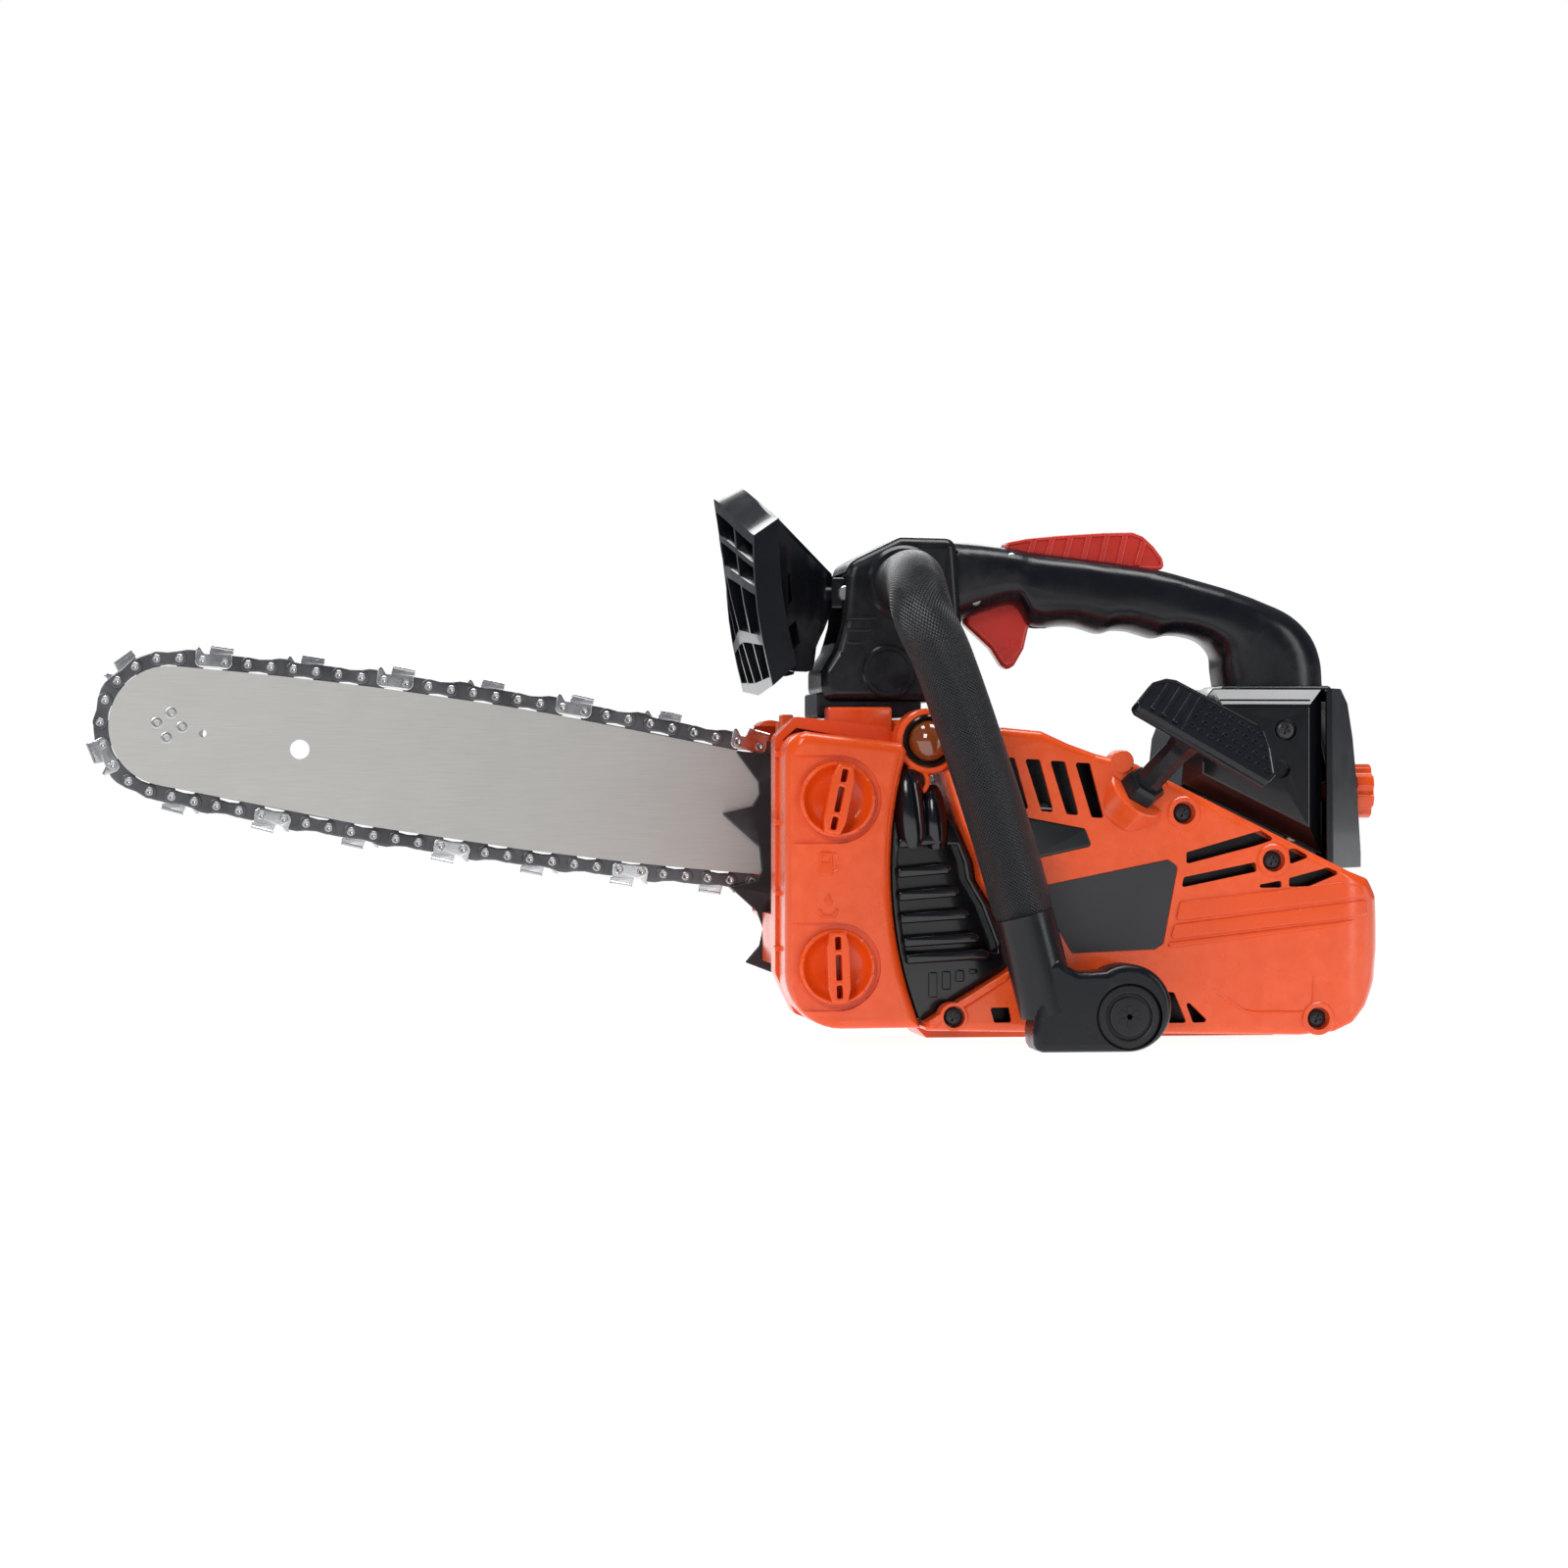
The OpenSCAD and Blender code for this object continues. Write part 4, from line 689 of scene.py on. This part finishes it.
for a, b, count in (((0.5, 14), (27.5, 14.6), 7), ((-1.4, 8), (29.5, 8), 8), ((-3.4, 2), (30.6, 1.6), 8),
                    ((-5, -4), (31.4, -4.6), 9)):
    for k in range(count):
        x, z = (a[i] + (b[i] - a[i]) * k / (count - 1) for i in (0, 1))
        grip.lathe([(0.6, -43.7), (1.5, -43.7), (1.3, -44.5), (0.8, -44.5)], x, z, 12, True, face_at)
grip.make("pull_handle", "pull_grip", BLACK, "starter_grip")

# ---------------------------------------------------------------- air filter housing

HOUSING_LINE = [(60, 103.5), (62, 122), (67, 135), (73, 141.8), (118, 141.8), (118, 74.5)]
housing, cut = Part(), Part()
edge = [(7.4, 40), (6.4, 39.6), (0.5, 33.6), (0, 32.6)]
housing.solid(HOUSING_LINE, [(d, -y) for d, y in edge] + edge[::-1])
housing.plate(rounded([(60, 104), (60, 69), (118, 69), (118, 78)], 2), -30, 38, 1.5)
housing.lathe([(0, -36), (6.6, -36), (6.6, -39.6), (6, -40), (0, -40)], *HOUSING_SCREW)
housing.lathe([(0, -36), (5.6, -36), (5.6, -39.6), (5.2, -40), (0, -40)], 99.7, 109.2)
cut.lathe([(0, -42), (4.4, -42), (4.4, -37), (0, -37)], *HOUSING_SCREW)
cut.lathe([(0, -42), (3.8, -42), (3.4, -36.5), (0, -36.5)], 99.7, 109.2)
for z in (134.2, 136.6):
    cut.plate([(74, z), (112, z), (112, z + 0.8), (74, z + 0.8)], -41, -37.6, 0)
housing.make("filter_box", "root", GLOSS, "filter_housing", cut=cut, bevel=0.8)

# ---------------------------------------------------------------- top handle

STATIONS = [(-34, 202.4, -34, 162), (-27.5, 202, -27.5, 168), (-16, 201, -16, 173), (-4, 199.4, -4, 176),
            (2, 198.4, 1.5, 168.5), (8.5, 197.6, 7.6, 166.8), (16.5, 196.6, 15.3, 167.7),
            (24.5, 195.7, 23, 167.3), (34, 194.5, 31.9, 164.8), (40, 193.8, 37.3, 166),
            (47.5, 192.7, 44.3, 165.8), (53.5, 191.8, 49.7, 164.3), (60, 190.4, 55, 163),
            (67, 188.4, 60.3, 164.1), (75, 186.3, 65.8, 164), (86, 183.2, 72, 162.6),
            (99.5, 178.4, 76.5, 160), (112, 172.6, 79.6, 155.6), (120.6, 164.2, 80, 150),
            (124.6, 154.5, 80.5, 146), (125.5, 144.8, 81, 142.1), (126, 138, 80.5, 137)]
HALF_WIDTH = 17.6


def oval(x0, z0, x1, z1, half, power=2.7, n=40):
    """A rounded-square section between a top and a bottom point."""
    ring = []
    for k in range(n):
        c, s = cos(2 * pi * k / n), sin(2 * pi * k / n)
        y = half * abs(c) ** (2 / power) * (1 if c > 0 else -1)
        h = 0.5 + 0.5 * abs(s) ** (2 / power) * (1 if s > 0 else -1)
        ring.append((x1 + (x0 - x1) * h, y, z1 + (z0 - z1) * h))
    return ring


handle, cut = Part(), Part()
lines = [spline([Vector((s[a], 0, s[a + 1])) for s in STATIONS], 4) for a in (0, 2)]
handle.loft([oval(p.x, p.z, q.x, q.z, HALF_WIDTH - 1.2 * sin(pi * min(1, i / 64)))
             for i, (p, q) in enumerate(zip(*lines))])
BASE_LINE = [(-83.5, 136.2), (-85, 142), (-85, 149), (-80, 157), (-77, 168), (-75.5, 187), (-74, 191.9),
             (-70.5, 194.2), (-53, 202.8), (-30, 202.4), (-27.5, 168), (-33, 155), (-36, 136.2)]
base_loop = rounded(BASE_LINE, 5)
handle.plate(base_loop, -24, 24, 4.6, seg=5)
handle.box((-86.5, -20, 130), (-44, 20, 140), 1.2)
handle.plate(rounded([(79, 137), (127, 137), (126, 143.4), (80, 143.4)], 2), -19, 19, 2)
handle.lathe([(0, -20), (15, -20), (15, -26.6), (13.8, -27.9), (12, -28), (0, -28)], -52, 184, 56)
handle.lathe([(0, -20), (10.7, -20), (10.7, -25.2), (10, -26), (8.6, -26), (8.2, -25.4), (0, -25.4)],
             -58.2, 148.5, 48)
for z in (160, 165, 170):
    handle.box((-75, -24.5, z - 0.8), (-68 + 0.5 * (z - 160), -22, z + 0.8), 0.5)
cut.plate(inset(turned(base_loop, 1), 3), -21, 21, 0)
cut.box((-40, -14.8, 165), (-28, 14.8, 198), 0)
cut.box((-90, -21, 160), (-72, 21, 188.5), 0)
cut.box((-27, -5.4, 158), (10, 5.4, 184), 0)
cut.box((-13, -6.6, 184), (62, 6.6, 210), 0)
cut.box((16, -6.6, 177), (61, 6.6, 190), 0)
cut.box((-46, 20, 185.8), (-32, 26, 190.2), 0)
cut.tube([(-51.8, -19.1, 184.05), (-52.3, -40, 183.9)], 11.84, 40)
handle.make("rear_grip", "root", BLACK, "top_handle", cut=cut, bevel=0.5)
pins = Part()
for x, z, r, half in ((-75, 180, 3, 22), (-21, 178, 2.5, 15.2), (-6, 195, 2, 15.2)):
    pins.lathe([(0, -half), (r - 0.4, -half), (r, -half + 0.4), (r, half - 0.4), (r - 0.4, half), (0, half)],
               x, z, 24)
pins.make("handle_pins", "root", STEEL)

TRIGGER = [(-24, 176), (-23.5, 168), (-19, 164), (-13, 158.5), (-8.5, 151.5), (-5.9, 149.7), (-3, 151.5),
           (1, 158.5), (3.3, 168.5), (3.5, 174), (-10, 181), (-21, 182)]
trigger = Part().plate(rounded(TRIGGER, 2.4), -4.6, 4.6, 2, holes=[circle(-21, 178, 2.54, 24)], seg=4)
trigger.make("throttle_lever", "trigger", RED, "throttle_trigger")

LEVER = [(-9, 194), (-6.8, 201.7), (1.8, 203.4), (14.7, 204.7), (33.9, 206), (45.6, 206.3), (50.1, 204.6),
         (54.5, 200.6), (58.2, 195.8), (59.2, 191.2), (54, 190.8), (0, 192.6)]
lever_loop = rounded(LEVER, 2.2)
lever = Part().plate(lever_loop, -5.2, 5.2, 1.4, holes=[circle(-6, 195, 2.04, 24)], seg=4)
lever.plate(lever_loop, -6, 6, 0.7, holes=[inset(turned(lever_loop, 1), 1.6)[::-1]])
for k in range(7):
    x = 4 + 7.6 * k
    top = 203.2 + 2.6 * min(1, x / 40) - (3 if x > 48 else 0)
    rib = [(x - 3.4, 192.5), (x - 0.8, 192.5), (x + 2.2, top), (x - 0.4, top)]
    lever.plate(rounded(rib, 0.5), -6, 6, 0.5)
lever.make("safety_lever", "lockout", RED, "trigger_lockout")

slider = Part().box((-44, 18.6, 186.2), (-38, 26.2, 189.8), 0.8)
slider.box((-46, 18.4, 184.6), (-38, 20.6, 191.4), 0.4)
for k in range(3):
    slider.box((-43 + 1.7 * k, 25.6, 186.6), (-42.2 + 1.7 * k, 26.5, 189.4), 0.3)
slider.make("stop_slider", "stop", RED, "stop_switch")

# ---------------------------------------------------------------- front handle

TUBE = [(-52, -23, 184), (-54, -62, 183.5), (-55, -80, 178), (-54, -91.5, 167), (-47.3, -95, 151),
        (-36, -95, 119), (-21, -95, 72), (-6, -95, 16)]
TUBE_R, FOOT = 11.8, (23.5, 13.6)


def sleeve(name, line, radius, material):
    """A swept sleeve whose "knurl" map counts mm along and round it."""
    n = 56
    rings, side, along, run = [], None, [0.0], line[0]
    for i, p in enumerate(line):
        t = (line[min(i + 1, len(line) - 1)] - line[max(i - 1, 0)]).normalized()
        side = t.cross(Vector((1, 0, 0))) if side is None else side - t * side.dot(t)
        side.normalize()
        up, r = t.cross(side), radius(i)
        rings.append([p + side * (r * cos(2 * pi * k / n)) + up * (r * sin(2 * pi * k / n))
                      for k in range(n)])
        if i:
            along.append(along[-1] + (p - run).length)
            run = p
    data = bpy.data.meshes.new(name)
    faces = [(i * n + k, i * n + (k + 1) % n, (i + 1) * n + (k + 1) % n, (i + 1) * n + k)
             for i in range(len(line) - 1) for k in range(n)]
    faces += [tuple(range(n))[::-1], tuple((len(line) - 1) * n + k for k in range(n))]
    data.from_pydata([v * MM for ring in rings for v in ring], [], faces)
    coords = data.uv_layers.new(name="knurl").data
    for f in data.polygons:
        wrap = f.loop_total == 4 and {v % n for v in f.vertices} == {0, n - 1}
        for loop, v in zip(f.loop_indices, f.vertices):
            k = n if wrap and v % n == 0 else v % n
            coords[loop].uv = (along[v // n], k * 2 * pi * TUBE_R / n)
    data.validate()
    bm = bmesh.new()
    bm.from_mesh(data)
    bmesh.ops.recalc_face_normals(bm, faces=bm.faces[:])
    bm.to_mesh(data)
    bm.free()
    obj = bpy.data.objects.new(name, data)
    scene.collection.objects.link(obj)
    finish_surface(obj, 50)
    data.materials.append(material)
    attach(obj, "root")
    return obj


tube_line = spline([Vector(p) for p in TUBE], 14)
last = next(i for i, p in enumerate(tube_line) if i > 60 and p.z < 42)
grip_tube = sleeve("front_grip", tube_line[:last], lambda i: TUBE_R - (0.9 if i > last - 4 else 0), GRIP)
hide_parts("front_handle")
end = tube_line[last - 3:-1]
end += [end[-1] + (end[-1] - end[-2]).normalized() * k for k in (3, 5.2)]
sleeve("front_grip_end", end, lambda i: 11.4, BLACK)
foot, cut = Part(), Part()
foot_loop = ([(-14, 8), (-13.6, 3), (-12.4, 1), (-10, 0)] + arc(23.5, 16.9, 16.9, -90, 122, 40)
             + [(8.6, 30.8), (4, 31), (0, 33), (-4, 36), (-10, 34)])
foot.plate(foot_loop, -106, -84, 3, seg=5)
cut.lathe([(0, -110), (12.9, -110), (12.9, -80), (0, -80)], *FOOT, 64)
foot.make("front_foot", "root", BLACK, cut=cut, bevel=0.6)
buffer = Part().lathe([(0, -106), (6.6, -106.1), (7.5, -105.7), (7.6, -104.2), (8.8, -104.2), (9.1, -104.9),
                       (9.7, -105.2), (11.8, -105), (12.7, -104.3), (12.8, -82), (8.4, -82), (8.4, -30.2),
                       (0, -30.2)], *FOOT, 64)
for k in range(3):
    buffer.box((-1, -106.3, -4.2), (1, -105.8, 4.2), 0.3, at=spun(*FOOT, 60 * k))
buffer.make("buffer", "root", RUBBER, "foot_buffer")

# ---------------------------------------------------------------- hand guard

GUARD_LEFT, GUARD_MID, GUARD_RIGHT = -46, 12, 60
GUARD_SIDE = ((-115, 201.5), (-105, 208.5), (-107.5, 142), (-98, 150.5))
GUARD_CREST = ((-125, 220), (-114.5, 225), (-106.5, 139.5), (-99, 147))


def guard_at(y, h, d):
    """A point of the guard: across it, up it from 0 to 1, and in from its front face from 0 to 1."""
    edge = GUARD_LEFT if y < GUARD_MID else GUARD_RIGHT
    t = min(1, (y - edge) / (GUARD_MID - edge))
    t = t * t * (3 - 2 * t) * 0.35 + t * 0.65
    ft, bt, fb, bb = [Vector(a).lerp(Vector(b), t) for a, b in zip(GUARD_SIDE, GUARD_CREST)]
    front, back = fb.lerp(ft, h), bb.lerp(bt, h)
    p = front.lerp(back, d)
    return (p.x - 2.2 * sin(pi * h), y, p.y)


def guard_block(part, y0, y1, h0, h1, d0, d1, steps=8):
    """A block of the guard's wall between two places across, up and in."""
    rings = []
    for i in range(steps + 1):
        y = y0 + (y1 - y0) * i / steps
        ups = [h0 + (h1 - h0) * k / 6 for k in range(7)]
        rings.append([guard_at(y, h, d0) for h in ups] + [guard_at(y, h, d1) for h in reversed(ups)])
    part.loft(rings)


WEB = [(-105.5, 150), (-102, 148.6), (-98.4, 148), (-95, 148), (-92, 148), (-89.6, 148.6), (-88.4, 152),
       (-87.6, 158), (-86, 161.4), (-84, 165), (-82.4, 168.6), (-80.8, 172.6), (-79, 176.4)]
guard, cut = Part(), Part()
guard_block(guard, GUARD_LEFT, GUARD_RIGHT, 0, 1, 0, 1, 24)
for low, high in ((0.06, 0.27), (0.33, 0.60), (0.66, 0.78), (0.815, 0.93)):
    for a, b in ((-43.4, -18), (-15.4, 10.6), (13.4, 34), (36.6, 57.4)):
        guard_block(cut, a, b, low, high, -0.5, 0.74)
for low, high in ((0.09, 0.24), (0.37, 0.56)):
    for a, b in ((-40, -21), (-12, 7), (17, 31), (40, 54)):
        guard_block(cut, a, b, low, high, 0.5, 1.5)
for y0, arm in ((GUARD_LEFT + 1.3, -17), (GUARD_RIGHT - 1.3, 17)):
    rings = []
    for x, low in WEB:
        s = (x + 105.5) / 26.5
        y, high = y0 + (arm - y0) * s ** 0.9, 208 - 22 * s ** 0.85
        rings.append([(x, y - 1.2, high), (x, y + 1.2, high), (x, y + 1.2, low), (x, y - 1.2, low)])
    guard.loft(rings)
    top = [Vector((-105.6, y0, 207.6)), Vector((-114.6, GUARD_MID, 224)), Vector((-80, arm, 186.6))]
    guard.loft([[p + Vector((0, 0, 1.1)) for p in top], [p - Vector((0.8, 0, 1.4)) for p in top]])
for y in (-19.5, 14.5):
    eye = arc(-75, 180, 6.3, -90, 90, 16) + [(-84, 186.3), (-85, 185), (-85, 175), (-84, 173.7)]
    guard.plate(eye, y, y + 5, 1)
    cut.lathe([(0, y - 2), (3.04, y - 2), (3.04, y + 7), (0, y + 7)], -75, 180, 32)
guard.make("brake_guard", "guard", GLOSS, "hand_guard", cut=cut, bevel=0.7)

# ---------------------------------------------------------------- bar, chain and spikes

NOSE_R, DRIVE_R, CROWN_R, HALF_H, RIVETS = 28, 18, 1777, 32.3, 90
crown_mid = sqrt((CROWN_R - DRIVE_R) ** 2 - (CROWN_R - HALF_H) ** 2)
crown_tip = sqrt((CROWN_R - NOSE_R) ** 2 - (CROWN_R - HALF_H) ** 2)
nose_s = crown_mid + crown_tip
lean_drive, lean_nose = asin(crown_mid / (CROWN_R - DRIVE_R)), asin(crown_tip / (CROWN_R - NOSE_R))
LONG, ROUND_NOSE = CROWN_R * (lean_drive + lean_nose), NOSE_R * (pi - 2 * lean_nose)
LOOP = 2 * LONG + ROUND_NOSE + DRIVE_R * (pi - 2 * lean_drive)
BAR_FRAME = (Matrix.Translation((CRANK[0], 0, CRANK[1])) @ Matrix.Rotation(TILT, 4, "Y")
             @ Matrix.Diagonal((-1, 1, 1, 1)))


def on_loop(u):
    """A point of the rivet line in the bar's own plane."""
    def crown(a, side):
        return crown_mid + CROWN_R * sin(a), side * (CROWN_R * cos(a) - CROWN_R + HALF_H)
    if u < LONG:
        return crown(u / CROWN_R - lean_drive, 1)
    if u < LONG + ROUND_NOSE:
        a = lean_nose + (u - LONG) / NOSE_R
        return nose_s + NOSE_R * sin(a), NOSE_R * cos(a)
    if u < 2 * LONG + ROUND_NOSE:
        return crown(lean_nose - (u - LONG - ROUND_NOSE) / CROWN_R, -1)
    a = pi + lean_drive + (u - 2 * LONG - ROUND_NOSE) / DRIVE_R
    return DRIVE_R * sin(a), DRIVE_R * cos(a)


def rivet(i):
    return on_loop(((i + 0.5) % RIVETS) * LOOP / RIVETS)


def cutter_side(i):
    """The side, -1 or 1, on which link i carries a cutter, or 0 for none."""
    return 0 if i // 2 >= 44 else {1: -1, 3: 1}.get(i // 2 % 4, 0)


def link_frame(i):
    (a, b), (c, d) = rivet(i), rivet(i + 1)
    at = Matrix.Translation((a, 0, b)) @ Matrix.Rotation(-atan2(d - b, c - a), 4, "Y")
    return BAR_FRAME @ at, hypot(c - a, d - b)


drives, straps, cutters, heads = Part(), Part(), Part(), Part()
for i in range(RIVETS):
    at, n = link_frame(i)
    if i % 2 == 0:
        bump = 3.9 if i % 4 == 0 else 3
        link = (arc(0, 0, 3, 110, 250, 7) + [(n / 2 - 0.8, -7.4), (n - 1.4, -7.4)]
                + arc(n, 0, 3, -70, 70, 7) + [(n * 0.66, bump), (n * 0.36, bump)])
        drives.plate(link, BAR_Y - 0.65, BAR_Y + 0.65, 0.25, seg=2, at=at)
        continue
    for side in (-1, 1):
        near, far = BAR_Y + side * 1.85, BAR_Y + side * 0.75
        if cutter_side(i) != side:
            link = arc(0, 0, 3, 90, 270, 8) + [(n / 2, -2.5)] + arc(n, 0, 3, -90, 90, 8) + [(n / 2, 2.5)]
            straps.plate(link, near, far, 0.3, seg=2, at=at)
            continue
        tooth = [(n + 3.4, 4.4), (n + 2.6, 5.3), (n + 1.5, 5.3), (n - 0.6, 2.7), (n - 2.6, 2.9),
                 (n - 3.3, 6.5), (-3, 6), (-3.1, 3)]
        cutters.plate(arc(0, 0, 3, 170, 270, 5) + [(n / 2, -2.6)] + arc(n, 0, 3, -90, 10, 6)
                      + rounded(tooth, 0.5)[:-1], near, far, 0.25, seg=2, at=at)
        roof = [(-3, 4.9), (n - 3.6, 5.5), (n - 3.2, 6.6), (-3, 6.1)]
        cutters.plate(roof, BAR_Y + side * 3.2, BAR_Y - side * 0.5, 0.2, seg=1, at=at)
for i in range(RIVETS):
    a, b = rivet(i)
    half = [(0, 2.0), (0.7, 2.1), (1.0, 2.3), (1.5, 2.3), (1.8, 1.95)]
    heads.lathe([(r, -y) for r, y in half] + half[::-1], n=16,
                at=BAR_FRAME @ Matrix.Translation((a, BAR_Y, b)))
drives.make("drive_links", "bar", LINK, "drive_link_set")
straps.make("tie_straps", "bar", LINK, "tie_strap_set")
cutters.make("cutters", "bar", CHROME, "cutter_set")
heads.make("rivet_heads", "bar", STEEL, "chain_rivets")

nose_pins = Part()
for a, b in ((0, 5.4), (5.2, 0.4), (0.4, -5), (-5.2, 0.2)):
    for y in (BAR_Y - 2.12, BAR_Y + 2.12):
        s = 1 if y > BAR_Y else -1
        nose_pins.lathe([(0, y - s * 0.25), (0.7, y - s * 0.2), (1.2, y), (2.0, y), (2.4, y - s * 0.12),
                         (2.4, y - s * 1.3), (0, y - s * 1.3)], n=20,
                        at=BAR_FRAME @ Matrix.Translation((nose_s + a, 0, b)))
nose_pins.make("nose_rivets", "bar", STEEL)

SPIKES = [(-90.5, 24), (-96, 24), (-109, 29), (-103, 36), (-101.5, 43), (-104, 50), (-115.5, 60.5),
          (-104, 63), (-102, 67), (-103, 77), (-118.7, 91), (-106, 94), (-103, 99), (-103.4, 104),
          (-113, 117), (-101, 116), (-92, 110), (-90.5, 100)]
spikes = Part().plate(rounded(SPIKES, 0.5), 38, 40.8, 0.5, holes=[circle(-95, z, 2.6, 24) for z in (38, 54)])
spikes.make("spiked_bumper", "root", DARK, "bumper_spikes")

# ---------------------------------------------------------------- clutch cover

CLUTCH_LINE = [(-104, 47), (-60, 43), (-22, 38), (0, 37), (20, 43), (33, 58), (35.5, 76), (32, 94),
               (20, 106), (0, 113), (-20, 117), (-60, 123), (-104, 131)]
clutch, cut = Part(), Part()
clutch.tray(rounded(CLUTCH_LINE, 6), 42, 69, 5)
inner = rounded([(-14, 37.9), (0, 37.2), (20, 43), (33, 58), (35.5, 76), (32, 94), (20, 106), (0, 113),
                 (-14, 115.8)], 5)
clutch.plate(inner, 34.4, 43, 0.6, holes=[inset(turned(inner, 1), 2.4)[::-1]])
for band in ([(-98, 58), (-60, 54), (-30, 51), (-28, 58), (-62, 63), (-98, 68)],
             [(-98, 108), (-60, 104), (-30, 100), (-28, 107), (-62, 112), (-98, 117)]):
    clutch.plate(rounded(band, 2), 69.8, 66, 0.8)
cut.box((-120, 30, 50), (-88, 66.6, 127.5), 0)
for s in (45, 75):
    at = BAR_FRAME @ Matrix.Translation((s, 0, 0))
    cut.lathe([(0, 40), (4.3, 40), (4.3, 68), (9.6, 68.2), (9.6, 74), (0, 74)], n=40, at=at)
for i in range(5):
    x, z = -12 + 7 * i, 52 + 4 * i
    cut.plate(rounded([(x, z), (x + 3.2, z), (x + 3.2, 86), (x, 86)], 1.3), 80, 60, 0)
clutch.make("bar_cover", "root", ORANGE, "clutch_cover", cut=cut, bevel=0.4)

# ---------------------------------------------------------------- camera, floor and light

camera = bpy.data.objects.new("camera", bpy.data.cameras.new("camera"))
scene.collection.objects.link(camera)
SENSOR, FOCAL_PIXELS, FRAME_PIXELS, DISTANCE = 36, 4139, 1600, 1.650
camera.data.lens = SENSOR * FOCAL_PIXELS / FRAME_PIXELS
target = Vector((-0.0974, 0, 0.1032))
swing = radians(-7)
camera.location = target + Vector((DISTANCE * sin(swing), -DISTANCE * cos(swing), 0))
camera.rotation_euler = (pi / 2, 0, swing)
scene.camera = camera

world = bpy.data.worlds.new("studio")
world.use_nodes = True
w_nodes, w_link = world.node_tree.nodes, world.node_tree.links.new
# the camera sees white, the saw is lit by a dimmer sky
dim = w_nodes["Background"]
dim.inputs["Color"].default_value = (0.86, 0.91, 1.0, 1)
dim.inputs["Strength"].default_value = 0.16
white = w_nodes.new("ShaderNodeBackground")
white.inputs["Color"].default_value = (1, 1, 1, 1)
white.inputs["Strength"].default_value = 1.0
choose = w_nodes.new("ShaderNodeMixShader")
w_link(w_nodes.new("ShaderNodeLightPath").outputs["Is Camera Ray"], choose.inputs[0])
w_link(dim.outputs[0], choose.inputs[1])
w_link(white.outputs[0], choose.inputs[2])
w_link(choose.outputs[0], w_nodes["World Output"].inputs["Surface"])
scene.world = world
scene.view_settings.view_transform = "Standard"


def softbox(name, place, look_at, size, power):
    light = bpy.data.lights.new(name, "AREA")
    light.shape, light.size, light.size_y, light.energy = "RECTANGLE", size[0], size[1], power
    obj = bpy.data.objects.new(name, light)
    obj.location = place
    obj.rotation_euler = (Vector(look_at) - Vector(place)).to_track_quat("-Z", "Y").to_euler()
    scene.collection.objects.link(obj)


softbox("key", (-0.9, -1.5, 1.0), (-0.05, 0, 0.1), (0.55, 0.7), 13)
softbox("top", (-0.05, 0.0, 1.5), (-0.05, 0, 0.1), (1.5, 0.55), 21)
softbox("right", (1.1, -0.9, 0.45), (0.05, 0, 0.1), (0.35, 0.9), 4)
softbox("back", (-0.3, 1.4, 0.8), (-0.05, 0, 0.12), (1.4, 0.6), 9)

floor = bpy.data.objects.new("floor", bpy.data.meshes.new("floor"))
sides = ((-6, -6), (6, -6), (6, 6), (-6, 6))
floor.data.from_pydata([(x, y, -0.0002) for x, y in sides], [], [(0, 1, 2, 3)])
scene.collection.objects.link(floor)
paper = surface("floor_white", (0.35, 0.35, 0.35), 0.8, bump=0.001, mottle=0.005, specular=0.1)
paper.node_tree.nodes["Principled BSDF"].inputs["Emission Color"].default_value = (1, 1, 1, 1)
paper.node_tree.nodes["Principled BSDF"].inputs["Emission Strength"].default_value = 0.94
floor.data.materials.append(paper)
